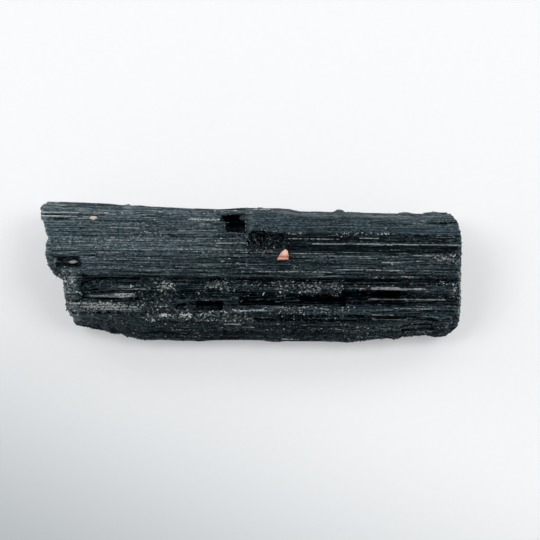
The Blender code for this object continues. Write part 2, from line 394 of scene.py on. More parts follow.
LEFT_END = (
    (-14.6, -39.5), (-13.5, -42.0), (-12.0, -43.0), (-8.8, -43.9), (-7.2, -44.1), (-1.9, -44.3),
    (-0.5, -46.4), (1.0, -47.1), (2.4, -48.4), (3.8, -48.7), (6.6, -48.3), (8.0, -47.6),
    (9.5, -48.4), (11.9, -49.2), (12.4, -49.8), (15.1, -49.9), (15.9, -49.7), (17.2, -49.0),
)
RIGHT_END = (
    (-15.4, 46.9), (-14.6, 47.8), (-13.2, 49.3), (-11.7, 49.8), (-7.0, 50.2), (4.0, 50.2),
    (8.4, 50.1), (12.0, 49.2), (13.6, 47.8), (14.8, 47.1),
)
END_LIMIT = 50.4
END_LOWEST = (-16.8, 0.0)
END_HIGHEST = (16.9, 22.4)

# Ledges, pits and hollows that the solid has too
LEDGES = (
    Patch(-40.8, 60.0, -11.0, -1.2, -1.5, front_slope=3.5, jag=0.3),
    Patch(-55.0, -40.8, -11.0, -7.1, -1.3, front_slope=3.5, jag=0.3),
    Patch(-1.8, 60.0, 4.4, 30.0, 1.0, end_slope=1.8, front_slope=2.2, jag=0.2),
    Patch(-1.8, 60.0, 6.6, 30.0, 0.9, end_slope=1.8, front_slope=2.3, jag=0.2),
    Patch(-0.9, 2.9, 6.3, 9.6, -1.8, jag=0.9),
    Patch(0.6, 7.6, 5.6, 9.0, -1.6, jag=0.9),
    Patch(2.0, 5.6, 5.0, 9.3, -0.9, jag=0.9),
    Patch(-6.2, -1.5, 9.2, 12.3, -7.0, back_slope=0.8, jag=0.15),
    Patch(-7.3, -3.0, 12.0, 13.9, -4.5, end_slope=0.2, jag=0.3),
    Patch(-46.6, -40.0, 1.1, 3.6, -1.3, end_slope=1.2, jag=0.4),
    Patch(-40.5, -27.1, -7.0, -1.2, -1.7, jag=1.2),
    Patch(-38.4, -26.0, -4.2, -2.8, 1.1, end_slope=1.5),
    Patch(-38.0, -25.4, -6.4, -5.3, 0.9, end_slope=2.5),
    Patch(-41.2, -36.0, -2.9, -1.3, -0.9),
    Patch(-20.0, -9.0, -2.6, -1.3, -0.9, jag=2.0),
    Patch(-9.0, 34.0, -2.3, -1.3, -0.5, jag=2.0),
    Patch(-44.5, -26.0, -9.5, -7.1, 0.8),
    Patch(-44.0, -17.0, -10.4, -9.6, -0.8),
    Patch(-13.4, -6.8, -9.2, -6.6, -4.0, end_slope=0.6, back_slope=1.0, jag=0.2),
    Patch(-18.8, -15.6, -9.1, -7.5, -2.2, end_slope=0.5, jag=0.4),
    Patch(-3.6, 22.0, -8.3, -5.3, -4.2, end_slope=1.0, back_slope=1.5, jag=0.6),
    Patch(14.0, 36.0, -7.1, -4.3, -3.2, end_slope=3.0, back_slope=1.3, jag=0.8),
    Patch(12.4, 21.2, -14.7, -13.3, -1.9, end_slope=1.5),
    Patch(27.9, 60.0, -17.0, -0.6, -0.4, jag=0.5),
    Patch(27.9, 46.7, -4.6, -3.7, 0.6, jag=0.6),
    Patch(29.0, 46.7, -6.1, -4.7, -1.4),
    Patch(-12.5, 21.0, -5.0, -2.4, 0.5, end_slope=1.5),
    Patch(42.0, 48.2, 1.9, 4.3, 0.4, end_slope=1.0),
)

# Thin ridges and grooves that only the dressed crystal has, as (from x, to x, front, back, rise)
RIDGES = tuple(
    Patch(*row)
    for row in (
        (-51.0, -33.0, 13.9, 14.35, 0.16), (-51.0, -36.0, 13.35, 13.85, -0.55),
        (-51.0, -40.0, 12.9, 13.35, 0.17), (-46.0, -40.5, 14.7, 14.95, 0.08),
        (-46.0, -38.3, 10.2, 10.55, -0.22), (-42.6, -35.6, 4.5, 4.8, -0.22), (-40.8, -34.6, 4.1, 4.45, 0.12),
        (-43.6, -31.6, 3.7, 4.0, -0.2), (-32.2, -23.2, 5.0, 5.4, 0.14), (-32.2, -21.6, 4.65, 4.95, -0.2),
        (-36.5, -26.0, 3.1, 3.45, 0.12), (-33.6, -22.5, 3.55, 3.85, -0.18), (-28.4, -20.1, 12.3, 12.65, 0.14),
        (-28.6, -18.6, 11.95, 12.25, -0.16), (-14.0, -7.4, 9.95, 10.35, -0.55),
        (-14.0, -7.8, 9.2, 9.55, -0.45), (-1.6, -0.9, 8.6, 12.7, 0.4), (20.0, 48.7, 6.3, 6.65, 0.12),
        (45.2, 48.7, 6.05, 6.6, 0.16), (24.0, 28.0, 6.2, 6.65, 0.15), (8.8, 19.3, 4.0, 4.4, 0.14),
        (0.3, 7.6, 9.1, 9.5, 0.26), (8.0, 33.0, 8.6, 9.0, 0.14), (46.0, 48.9, 6.8, 8.0, -0.35),
        (27.4, 32.6, 0.2, 0.55, 0.14), (36.4, 42.1, 1.35, 1.75, -0.45), (11.0, 14.5, -3.55, -3.2, 0.18),
        (12.0, 17.0, 1.6, 1.95, 0.12), (-36.6, -26.6, -6.2, -5.75, 0.15), (27.9, 34.3, -10.3, -9.85, 0.22),
        (28.8, 36.4, -11.45, -11.0, 0.22), (38.9, 41.5, -9.3, -8.9, 0.2), (42.0, 45.2, -6.6, -6.15, 0.22),
        (-4.5, -0.7, -11.05, -10.6, 0.22), (-7.1, -2.4, -12.4, -11.95, 0.2),
        (-41.5, -24.0, -10.25, -9.85, -0.5), (9.8, 16.4, -12.0, -11.6, -0.45),
        (5.0, 16.0, -10.6, -10.3, -0.35), (-20.0, 5.0, -13.5, -13.2, -0.35), (28.0, 49.5, -6.75, -6.25, -0.7),
        (28.0, 44.0, -7.65, -7.25, -0.6), (30.0, 49.5, -8.75, -8.3, -0.8), (28.0, 49.5, -10.8, -10.35, -0.8),
        (28.0, 45.0, -12.0, -11.6, -0.7), (31.0, 49.5, -13.1, -12.65, -0.8), (28.0, 46.0, -14.2, -13.8, -0.7),
        (21.0, 37.0, -2.5, -1.9, -0.7), (36.0, 49.0, -3.3, -2.9, -0.6), (-7.0, 27.0, -11.45, -11.0, -0.6),
        (0.0, 25.0, -12.75, -12.25, -0.7), (-26.0, -8.0, -12.2, -11.75, -0.6),
        (-30.0, -12.0, -5.2, -4.75, -0.7), (-26.0, -4.0, -6.2, -5.8, -0.6), (-12.0, 5.0, -4.95, -4.55, -0.6),
        (-38.0, -26.0, -6.9, -6.35, -0.8), (-39.0, -27.0, -4.7, -4.25, -0.6), (-36.0, 10.0, 2.1, 2.4, -0.3),
        (-30.0, 30.0, 0.9, 1.2, -0.35), (-34.0, 27.0, -0.55, -0.2, -0.45), (-20.0, -8.0, 6.0, 6.3, -0.3),
        (-46.0, -36.0, 7.2, 7.5, -0.25), (-30.0, -12.0, 8.6, 8.9, -0.25),
    )
)

# The broken face that slopes down to the left end, in front of the ledge
LEFT_SLOPE = Patch(-60.0, -41.0, -7.2, 0.8, -1.3, end_slope=4.6)

# Stretches of the top that broke into grains
ZONES = tuple(
    Zone(*row)
    for row in (
        (-46.0, -40.9, -7.4, 1.0, 0.9, 0.32), (-44.5, -26.0, -9.6, -7.0, 1.1, 0.33),
        (-28.8, -17.9, 7.6, 11.9, 0.5, 0.09), (-48.5, -26.0, 5.2, 8.3, 0.3, 0.05, 0.1),
        (-26.0, -9.0, 6.4, 8.2, 0.3, 0.06, 0.12), (-0.8, 7.4, 5.6, 9.4, 1.9, 0.06),
        (-12.1, -4.5, -4.4, -1.8, 1.0, 0.27), (5.0, 21.2, -5.2, -1.8, 1.0, 0.28),
        (-4.5, 5.0, -3.8, -2.4, 0.8, 0.22), (-22.9, -18.1, -4.4, -2.3, 1.3, 0.8),
        (24.5, 27.9, -4.6, -3.2, 0.8, 0.25, 0.45), (42.0, 48.2, 1.9, 4.3, 1.0, 0.3, 0.25),
        (-26.0, 0.0, -11.6, -9.0, 1.3, 0.27), (-28.0, -17.5, -9.5, -4.6, 1.5, 0.1),
        (-42.0, 28.0, -18.0, -11.4, 0.9, 0.03), (28.0, 50.0, -18.0, -12.6, 0.8, 0.06),
        (48.6, 51.0, -15.0, 14.0, 0.9, 0.12), (3.0, 24.0, -10.8, -8.3, 1.0, 0.18),
        (47.0, 48.6, -5.8, -2.8, 1.2, 0.4), (-0.8, 7.0, 9.3, 10.0, 1.0, 0.28),
        (20.0, 33.6, 8.4, 9.2, 0.9, 0.2), (-8.6, -1.4, 7.1, 8.8, 0.8, 0.1),
        (-44.0, -42.0, -0.2, 1.0, 1.0, 0.35), (-32.4, -27.8, -6.6, -4.8, 0.5, 0.62),
        (-40.0, -30.0, -3.2, -1.6, 0.6, 0.1), (-4.0, 8.0, 3.4, 5.0, 0.5, 0.07, 0.08),
        (31.0, 38.0, 1.2, 2.6, 0.7, 0.1),
    )
)

# Calm prism faces and deeply ribbed breaks. Each goes over the ones before it. Their dust is partly painted
# light: it lightens the top, and is scant or nil on the front slope, the lower flank, the pit and the
# hollows, which it leaves dark as painted shade.
REGIONS = tuple(
    Region(*row)
    for row in (
        (-52.0, 52.0, -1.3, 18.0, 1.0, 0.31), (-52.0, -8.0, 8.4, 18.0, 1.0, 0.62),
        (-49.0, -7.0, 4.9, 8.4, 0.7, 0.9), (-52.0, -7.0, -1.3, 4.9, 1.0, 0.5),
        (-1.6, 50.0, 8.9, 18.0, 0.25, 0.34), (-6.7, -1.1, 9.0, 14.0, 0.3, 0.0),
        (-0.8, 7.6, 5.2, 9.2, 1.4, 0.03), (7.4, 50.0, 6.3, 9.0, 0.25, 0.1),
        (21.0, 50.0, 6.3, 9.0, 0.35, 0.24), (7.4, 50.0, 4.3, 6.3, 0.35, 0.04),
        (-47.0, -40.2, 0.9, 4.0, 0.5, 0.05), (27.9, 52.0, -12.6, -0.9, 2.2, 0.17),
        (-41.0, -26.0, -9.6, -1.3, 1.8, 0.26), (-26.0, 27.9, -12.0, -1.3, 1.7, 0.18),
        (-13.6, -6.4, -9.3, -6.6, 0.8, 0.0), (-3.8, 36.4, -8.4, -4.4, 0.8, 0.0),
        (-52.0, 52.0, -18.0, -12.0, 1.9, 0.06), (-52.0, -41.0, -12.0, 1.0, 1.0, 1.0),
    )
)
# The same for the flanks and the underside
PLAIN_RIBS = 1.0
PLAIN_DUST = 0.20

# Rusty threads that lie along the grooves, as (from x, to x, y)
RUST_LINES = (
    (-30.0, -20.5, 7.75), (-8.8, -0.6, 6.8), (-10.0, -4.5, 5.1), (-1.0, 5.6, 4.7), (-20.0, -15.0, 7.15),
    (-35.0, -31.5, 7.9),
)

# Small lumps on the outline, as (x, half length, rise), on the back and on the front
BACK_LUMPS = ((21.0, 1.0, 0.6), (36.8, 1.6, 0.3), (49.5, 5.0, -0.5), (-28.0, 1.5, 0.2), (10.0, 1.8, 0.2))
FRONT_LUMPS = (
    (-36.2, 1.0, 0.5), (-26.0, 2.0, 0.3), (35.0, 1.2, 0.45),
    (45.6, 2.2, 0.6), (23.5, 2.0, 0.35), (5.0, 2.4, 0.3),
)

# Bright lines, partly a thin pale film that clings to an edge and partly painted highlights, as (from x, to
# x, y, width)
PALE_FILM_AND_HIGHLIGHT_LINES = (
    (-50.0, -34.0, 14.1, 0.56), (-50.0, -41.0, 13.15, 0.56), (-40.5, -38.0, 13.05, 0.34),
    (-29.5, -21.5, 7.75, 0.34), (-9.0, -1.0, 6.75, 0.34), (-10.0, -4.6, 5.1, 0.34),
    (-32.0, -23.5, 5.2, 0.34), (-37.0, -28.0, 3.9, 0.42), (-40.5, -29.0, 2.95, 0.34),
    (-37.0, -25.0, -3.95, 0.44), (-39.2, -31.0, -5.6, 0.6), (-33.0, -27.8, -5.2, 0.6),
    (-32.0, -29.0, -3.3, 0.7), (-41.0, -27.0, -8.2, 0.5), (-43.5, -33.0, -7.35, 0.6),
    (-36.0, -26.5, -8.75, 0.5), (-34.0, -26.0, -9.3, 0.4), (27.9, 41.0, -3.95, 0.56),
    (27.9, 38.0, -3.9, 0.36), (28.5, 35.0, -3.7, 0.6), (27.4, 46.0, -6.4, 0.3), (11.0, 14.6, -3.25, 0.34),
    (-7.0, -2.6, -12.2, 0.5), (-4.6, -0.8, -10.9, 0.5), (28.8, 37.0, -11.2, 0.3),
    (27.9, 34.0, -10.05, 0.32), (33.0, 45.0, -8.6, 0.34), (45.2, 48.8, 6.15, 0.34),
    (24.0, 28.0, 6.4, 0.5), (14.0, 48.8, 6.35, 0.42), (8.8, 19.3, 4.2, 0.34), (27.4, 32.6, 0.4, 0.34),
    (30.0, 36.0, 2.2, 0.34),
)

# Where crumbs lie, as (x, y, spread along x, spread along y, how many, the largest's size)
CRUMBS = (
    (-1.55, 10.8, 0.08, 1.8, 26, 0.36), (3.4, 7.6, 2.8, 1.4, 30, 0.28), (-20.5, -10.1, 1.1, 0.5, 22, 0.8),
    (-15.7, -10.1, 1.7, 0.4, 30, 0.8), (-24.3, -11.3, 1.1, 0.5, 16, 0.6),
    (-10.5, -10.0, 2.2, 0.5, 20, 0.6), (-6.0, -10.1, 0.9, 0.8, 12, 0.36),
    (-28.6, -3.2, 0.7, 0.35, 11, 0.48), (-24.3, -3.8, 0.2, 0.2, 2, 0.34),
    (-20.5, -3.3, 2.3, 0.9, 16, 0.5), (11.0, -9.5, 1.4, 0.5, 10, 0.28), (10.2, 1.3, 0.5, 0.35, 6, 0.34),
    (44.7, -2.4, 1.8, 0.45, 11, 0.38), (48.0, -4.3, 0.5, 1.4, 14, 0.4), (31.0, 8.8, 2.6, 0.25, 14, 0.32),
    (21.9, 8.8, 1.7, 0.25, 9, 0.28), (-11.3, 4.8, 0.6, 0.7, 7, 0.26), (-43.5, 10.1, 0.35, 0.1, 3, 0.26),
    (-42.7, 0.4, 0.6, 0.4, 7, 0.28), (-34.5, -7.7, 5.0, 0.6, 60, 0.4), (16.0, -4.0, 3.2, 1.2, 16, 0.3),
    (-7.5, -3.0, 3.2, 0.9, 12, 0.3), (-32.0, -4.0, 4.0, 2.4, 12, 0.22), (0.0, -12.0, 22.0, 2.4, 44, 0.22),
    (0.0, 0.0, 46.0, 14.0, 60, 0.2),
)


@dataclass(frozen=True)
class Ribbing:
    """Long strips side by side along the crystal, each broken across here and there, with a tilted top."""

    seed: int
    width: Point
    length: Point
    rise: Point
    tilt: float
    jag: float
    crown: float = 0.0
    taper: Point = (0.1, 0.5)
    groove: float = 0.0
    groove_width: float = 0.16

    def strips(self, rng: Dice, perimeter: float) -> Array:
        """The places round the section where the strips meet.

        Args:
            rng: the source of their widths.
            perimeter: how far it is round the section.

        Returns:
            The places, from 0 to the perimeter.
        """
        edges = [0.0]
        while edges[-1] < perimeter - self.width[1]:
            edges.append(edges[-1] + rng.uniform(*self.width))
        edges.append(perimeter)
        return np.array(edges)

    def relief(self, travel: Array, x: Array, perimeter: float) -> Array:
        """The height of the strips.

        Args:
            travel: how far round the section each point is.
            x: how far along the crystal it is.
            perimeter: how far it is round the section.

        Returns:
            The height at each point.
        """
        rng = np.random.default_rng(self.seed)
        softness = np.random.default_rng(self.seed + 100)
        edges = self.strips(rng, perimeter)
        strip = np.clip(np.searchsorted(edges, travel, side="right") - 1, 0, len(edges) - 2)
        ragged = x + self.jag * cloud(travel * 2.1, x * 0.2, np.zeros_like(x), self.seed)
        order = np.argsort(strip, kind="stable")
        starts = np.searchsorted(strip[order], np.arange(len(edges)))
        relief = np.zeros_like(x)
        for index in range(len(edges) - 1):
            breaks = [-LENGTH / 2 - rng.uniform(0.0, self.length[1])]
            while breaks[-1] < LENGTH / 2:
                breaks.append(breaks[-1] + rng.uniform(*self.length))
            rises = rng.uniform(*self.rise, len(breaks))
            tilts = rng.uniform(-self.tilt, self.tilt, len(breaks))
            ends = np.array(breaks[1:])
            tapers = np.minimum(softness.uniform(*self.taper, len(ends)), 0.45 * self.length[0])
            places = np.stack([ends - tapers, ends + tapers], axis=1).ravel()
            chosen = order[starts[index] : starts[index + 1]]
            rise = np.interp(ragged[chosen], places, np.repeat(rises, 2)[1:-1])
            tilt = np.interp(ragged[chosen], places, np.repeat(tilts, 2)[1:-1])
            width = edges[index + 1] - edges[index]
            away = travel[chosen] - 0.5 * (edges[index] + edges[index + 1])
            depths = self.groove * softness.uniform(0.0, 1.0, len(breaks)) ** 2
            groove = np.interp(ragged[chosen], places, np.repeat(depths, 2)[1:-1])
            groove = groove * ramp(np.abs(away), 0.5 * width - self.groove_width, self.groove_width)
            relief[chosen] = rise + tilt * away - self.crown * width * (2.0 * away / width) ** 2 - groove
        return relief


@dataclass(frozen=True)
class Section:
    """The crystal's rounded section, read by how far round it a point is, from 0 to 1."""

    travel: Array
    across: Array
    height: Array

    @classmethod
    def trace(cls, roundness: float = 0.34, steps: int = 12) -> Section:
        """Draws the closed curve through the section's points.

        Args:
            roundness: straight between the points at 0, full at 0.5.
            steps: how many short runs each stretch has.

        Returns:
            The section.
        """
        points = np.array(SECTION)
        after = np.roll(points, -1, axis=0)
        lead = roundness * (after - np.roll(points, 1, axis=0))
        next_lead = np.roll(lead, -1, axis=0)
        rows = []
        for step in np.arange(steps) / steps:
            rows.append(
                (2 * step**3 - 3 * step**2 + 1) * points
                + (step**3 - 2 * step**2 + step) * lead
                + (3 * step**2 - 2 * step**3) * after
                + (step**3 - step**2) * next_lead
            )
        curve = np.stack(rows, axis=1).reshape(-1, 2)
        curve = np.vstack([curve, curve[:1]])
        width = along(0.0, BACK_EDGE) - along(0.0, FRONT_EDGE)
        walk = np.hypot(np.diff(curve[:, 0]) * width, np.diff(curve[:, 1]) * HEIGHT)
        return cls(np.concatenate([[0.0], np.cumsum(walk)]), curve[:, 0], curve[:, 1])

    @property
    def perimeter(self) -> float:
        """How far it is round the section."""
        return float(self.travel[-1])

    def place(self, turn: Array, x: Array) -> tuple[Array, Array]:
        """Where the points at these turns lie in the sections at x.

        Args:
            turn: how far round, from 0 to 1.
            x: how far along.

        Returns:
            The points' y and z.
        """
        travel = turn * self.perimeter
        front = along(x, FRONT_EDGE)
        back = along(x, BACK_EDGE)
        y = front + np.interp(travel, self.travel, self.across) * (back - front)
        return y, np.interp(travel, self.travel, self.height) * HEIGHT

    def outward(self, turn: Array, x: Array, step: float = 0.004) -> tuple[Array, Array]:
        """The outward normal at these turns.

        Args:
            turn: how far round, from 0 to 1.
            x: how far along.
            step: how far to each side the slope is read.

        Returns:
            The normal's y and z.
        """
        y_on, z_on = self.place((turn + step) % 1.0, x)
        y_off, z_off = self.place((turn - step) % 1.0, x)
        run = np.hypot(y_on - y_off, z_on - z_off)
        return (z_on - z_off) / run, (y_off - y_on) / run

    def straight(self, turn: Array, x: Array, flat: float = 0.5) -> Array:
        """How far round each place is, counted so that a straight line along the crystal keeps its count.

        The steep flanks follow the plan's edges instead.

        Args:
            turn: how far round, from 0 to 1.
            x: how far along.
            flat: lines are straight where the normal rises or falls by more than this.

        Returns:
            The count, in millimetres.
        """
        y, _ = self.place(turn, x)
        reference, _ = self.place(turn, np.zeros_like(x))
        _, out_z = self.outward(turn, x)
        level = np.abs(out_z)
        slope = np.where(out_z < 0.0, -1.0, 1.0) * np.maximum(level, flat)
        share = ramp(level, 0.1, flat - 0.1)
        return turn * self.perimeter + share * (reference + GRAIN_SLOPE * x - y) / slope

    def turn_at(self, count: Array, x: Array) -> Array:
        """The turn at each x of the line with this count.

        Args:
            count: the line's count round the section, in millimetres.
            x: how far along.

        Returns:
            How far round the line is, from 0 to 1.
        """
        turn = count / self.perimeter + 0.0 * x
        for _ in range(4):
            miss = count - self.straight(turn % 1.0, x)
            turn = turn + np.clip(miss, -1.0, 1.0) / self.perimeter
        return turn % 1.0


class Pattern(NamedTuple):
    """A mineral pattern: how fine it is, and 1 for round specks or less for streaks along the crystal."""

    scale: float
    stretch: float = 1.0


@dataclass(frozen=True)
class TourmalineFinish:
    """Near-black schorl: satin prism faces, dull granular breaks, pale crusts and rusty threads."""

    face: Colour = (0.0009, 0.0016, 0.0020)
    sheen_tint: Colour = (0.55, 0.84, 1.0)
    # The dust tone, which also paints highlights, glints and shade where the finish attribute says so
    dust_and_painted_light: Colour = (0.062, 0.090, 0.101)
    # Pale flecks, partly painted glints
    fleck_and_glint: Colour = (0.200, 0.232, 0.240)
    crust: Colour = (0.500, 0.515, 0.505)
    rust: Colour = (0.300, 0.205, 0.165)
    ior: float = 1.64
    sheen: float = 0.34
    face_roughness: Point = (0.10, 0.24)
    break_roughness: float = 0.28
    streaks: Pattern = Pattern(2900.0, 0.03)
    dashes: Pattern = Pattern(3300.0, 0.42)
    speckle: Pattern = Pattern(2300.0, 0.80)
    clouds: Pattern = Pattern(240.0, 0.25)
    weights: tuple[float, ...] = (0.34, 0.36, 0.30, 0.18)
    depths: tuple[float, ...] = (0.00016, 0.00018, 0.00016)
    calm_relief: float = 0.15
    crust_bite: float = 0.36
    rust_bite: float = 0.45
    film_share: float = 0.55
    patch_share: float = 0.60
    patch_levels: Point = (0.565, 0.615)
    fleck_and_glint_levels: Point = (0.66, 0.74)
    clean_levels: Point = (0.0, 0.04)
    cloud_range: Point = (0.75, 1.0)

    def material(self) -> bpy.types.Material:
        """Builds the tourmaline material.

        Returns:
            The material.
        """
        nodes = MaterialSheet("black tourmaline")
        nodes.settle({"IOR": self.ior, "Specular Tint": self.sheen_tint, "Specular IOR Level": self.sheen})
        shares = nodes.add("ShaderNodeVertexColor", layer_name="finish")
        split = nodes.add("ShaderNodeSeparateColor")
        nodes.link(shares.outputs["Color"], split.inputs["Color"])
        patterns = [nodes.pattern(kind) for kind in (self.streaks, self.dashes, self.speckle)]
        pale, rusty, broken = split.outputs
        tone = self.tone(nodes, (pale, rusty, shares.outputs["Alpha"]), patterns)
        nodes.link(tone, nodes.shader.inputs["Base Color"])
        satin = nodes.remap(patterns[0].outputs["Mask"], after=self.face_roughness)
        roughness = nodes.mix(satin, self.break_roughness, broken, numbers=True)
        nodes.link(roughness, nodes.shader.inputs["Roughness"])
        relief = nodes.remap(broken, after=(self.calm_relief, 1.0))
        heights = [nodes.calculate("MULTIPLY", pattern.outputs["Height"], relief) for pattern in patterns]
        nodes.bump(tuple(zip(heights, self.depths)))
        return nodes.material

    def tone(
        self, nodes: MaterialSheet, shares: tuple[Socket, ...], patterns: list[bpy.types.Node]
    ) -> Socket:
        """The colour: bare black faces, a thin film and patches of dust that also carry painted light, pale
        flecks that are partly painted glints, crusts and rust.

        Args:
            nodes: the material's nodes.
            shares: how pale and rusty each place is, and how much dust and painted light it takes.
            patterns: the streaks, the dashes and the speckle.

        Returns:
            The colour.
        """
        pale, rusty, dust_and_light_share = shares
        heights = [pattern.outputs["Height"] for pattern in patterns]
        grain = nodes.weigh(tuple(zip((*heights, dust_and_light_share), self.weights)))
        clean = nodes.remap(dust_and_light_share, self.clean_levels)
        patches = nodes.calculate("MULTIPLY", nodes.remap(grain, self.patch_levels), clean)
        film = nodes.calculate("MULTIPLY", dust_and_light_share, dust_and_light_share)
        cover = nodes.weigh(((film, self.film_share), (patches, self.patch_share)))
        clouds = nodes.remap(nodes.pattern(self.clouds).outputs["Mask"], after=self.cloud_range)
        tone = nodes.mix(self.face, self.dust_and_painted_light, nodes.calculate("MULTIPLY", cover, clouds))
        # Pale flecks, partly painted glints, on the dust patches
        flecks_and_glints = nodes.calculate("MULTIPLY", patches, nodes.remap(grain, self.fleck_and_glint_levels))
        tone = nodes.mix(tone, self.fleck_and_glint, flecks_and_glints)
        specks = patterns[-1].outputs["Mask"]
        tone = nodes.mix(tone, self.crust, nodes.mask(pale, specks, self.crust_bite))
        return nodes.mix(tone, self.rust, nodes.mask(rusty, specks, self.rust_bite))


class Shade(Enum):
    """The two shades of feldspar on the crystal."""

    SALMON = "salmon_feldspar"
    PALE = "pale_feldspar"


@dataclass(frozen=True)
class FeldsparFinish:
    """Feldspar: matt and broken, pale in specks, flushed with red where a stain lies."""

    shade: Shade
    flesh: Colour
    bright: Colour
    stain: Colour = (0.0, 0.0, 0.0)
    stain_y: float = 0.0
    stain_width: float = 0.0
    ior: float = 1.53
    roughness: float = 0.5
    milkiness: float = 0.25
    milk_depth: Colour = (0.0009, 0.0004, 0.0003)
    speckle: Pattern = Pattern(1900.0)
    depth: float = 0.00005

    def material(self) -> bpy.types.Material:
        """Builds the feldspar material.

        Returns:
            The material.
        """
        nodes = MaterialSheet(self.shade.value.replace("_", " "))
        nodes.settle({"IOR": self.ior, "Roughness": self.roughness, "Subsurface Weight": self.milkiness})
        nodes.settle({"Subsurface Radius": self.milk_depth, "Subsurface Scale": 1.0})
        speckle = nodes.pattern(self.speckle)
        tone = nodes.mix(self.flesh, self.bright, speckle.outputs["Mask"])
        if self.stain_width:
            stripe = nodes.stripe((self.stain_y - ORIGIN[1]) * MM, self.stain_width * MM)
            tone = nodes.mix(tone, self.stain, stripe)
        nodes.link(tone, nodes.shader.inputs["Base Color"])
        nodes.bump(((speckle.outputs["Height"], self.depth),))
        return nodes.material


@dataclass(frozen=True)
class CrumbFinish:
    """Quartz and feldspar dust: off-white crumbs, some glassy and some chalky."""

    chalk: Colour = (0.76, 0.76, 0.74)
    glass: Colour = (0.34, 0.36, 0.36)
    ior: float = 1.54
    roughness: Point = (0.30, 0.62)
    speckle: Pattern = Pattern(900.0)
    depth: float = 0.00002

    def material(self) -> bpy.types.Material:
        """Builds the crumbs' material.

        Returns:
            The material.
        """
        nodes = MaterialSheet("pale crumbs")
        nodes.settle({"IOR": self.ior})
        speckle = nodes.pattern(self.speckle)
        tone = nodes.mix(self.glass, self.chalk, speckle.outputs["Mask"])
        nodes.link(tone, nodes.shader.inputs["Base Color"])
        roughness = nodes.remap(speckle.outputs["Mask"], after=self.roughness)
        nodes.link(roughness, nodes.shader.inputs["Roughness"])
        nodes.bump(((speckle.outputs["Height"], self.depth),))
        return nodes.material


@dataclass(frozen=True)
class FloorFinish:
    """The pale table: matt card with a faint tooth, a glow painted in that lifts its shadows, and painted
    shade towards its front left corner.
    """

    card: Colour = (0.67, 0.675, 0.68)
    tooth: float = 0.985
    painted_shade_tone: Colour = (0.12, 0.15, 0.165)
    glow: float = 0.29
    roughness: float = 0.85
    gloss: float = 0.2
    corner: Point = (-0.45, -1.0)
    reach: Point = (0.013, 0.121)
    speckle: Pattern = Pattern(500.0)
    depth: float = 0.00001

    def material(self) -> bpy.types.Material:
        """Builds the floor's material.

        Returns:
            The material.
        """
        nodes = MaterialSheet("white card")
        nodes.settle({"Roughness": self.roughness, "Specular IOR Level": self.gloss})
        # Painted light: the card glows by itself, evenly, which lifts the shadows on it.
        nodes.settle({"Emission Color": self.card, "Emission Strength": self.glow / self.card[0]})
        speckle = nodes.pattern(self.speckle)
        shaded = tuple(part * self.tooth for part in self.card)
        tone = nodes.mix(shaded, self.card, speckle.outputs["Mask"])
        # Painted shade: the card greys towards its front left corner.
        nodes.link(nodes.mix(tone, self.painted_shade_tone, self.shade(nodes)), nodes.shader.inputs["Base Color"])
        nodes.bump(((speckle.outputs["Height"], self.depth),))
        return nodes.material

    def shade(self, nodes: MaterialSheet) -> Socket:
        """How much painted shade greys the card, from 0 at its middle to 1 past its corner.

        Args:
            nodes: the card's nodes.

        Returns:
            The share.
        """
        course = nodes.add("ShaderNodeVectorMath", operation="DOT_PRODUCT")
        nodes.link(nodes.place, course.inputs[0])
        course.inputs[1].default_value = (*self.corner, 0.0)
        return nodes.remap(course.outputs["Value"], self.reach, smooth=True)


class NodeSheet:
    """A node tree, with short methods for what every finish here needs."""

    def __init__(self, tree: bpy.types.NodeTree) -> None:
        """Takes the tree that it works on."""
        self.tree = tree

    def add(self, kind: str, **settings: object) -> bpy.types.Node:
        """Adds a node.

        Args:
            kind: which kind of node.
            settings: its settings by name.

        Returns:
            The node.
        """
        node = self.tree.nodes.new(kind)
        for key, value in settings.items():
            setattr(node, key, value)
        return node

    def link(self, source: Socket, target: Socket) -> None:
        """Joins two sockets."""
        self.tree.links.new(source, target)

    def feed(self, value: object, target: Socket) -> None:
        """Gives a socket what it reads.

        Args:
            value: a socket to link it to, or a colour or number to set it to.
            target: the socket.
        """
        if isinstance(value, Socket):
            self.link(value, target)
        else:
            target.default_value = (*value, 1.0) if target.type == "RGBA" else value

    def calculate(self, operation: str, *values: object, clamp: bool = False) -> Socket:
        """Does one sum.

        Args:
            operation: which sum, as Blender names it.
            values: the sockets or numbers that it takes.
            clamp: whether its result is kept from 0 to 1.

        Returns:
            The result.
        """
        node = self.add("ShaderNodeMath", operation=operation, use_clamp=clamp)
        for socket, value in zip(node.inputs, values):
            self.feed(value, socket)
        return node.outputs[0]

    def weigh(self, parts: tuple[tuple[Socket, float], ...]) -> Socket:
        """Adds up numbers.

        Args:
            parts: each number and its weight.

        Returns:
            Their weighted sum.
        """
        total = 0.0
        for value, weight in parts:
            total = self.calculate("MULTIPLY_ADD", value, weight, total)
        return total

    def remap(
        self, value: Socket, before: Point = (0.0, 1.0), after: Point = (0.0, 1.0), smooth: bool = False
    ) -> Socket:
        """Turns one range of a number into another, and holds it there past both ends.

        Args:
            value: the number.
            before: where the range starts and stops.
            after: what those two become.
            smooth: whether it eases in and out.

        Returns:
            The new number.
        """
        node = self.add("ShaderNodeMapRange", interpolation_type="SMOOTHSTEP" if smooth else "LINEAR")
        for name, limit in zip(("From Min", "From Max", "To Min", "To Max"), (*before, *after)):
            node.inputs[name].default_value = limit
        self.link(value, node.inputs["Value"])
        return node.outputs["Result"]


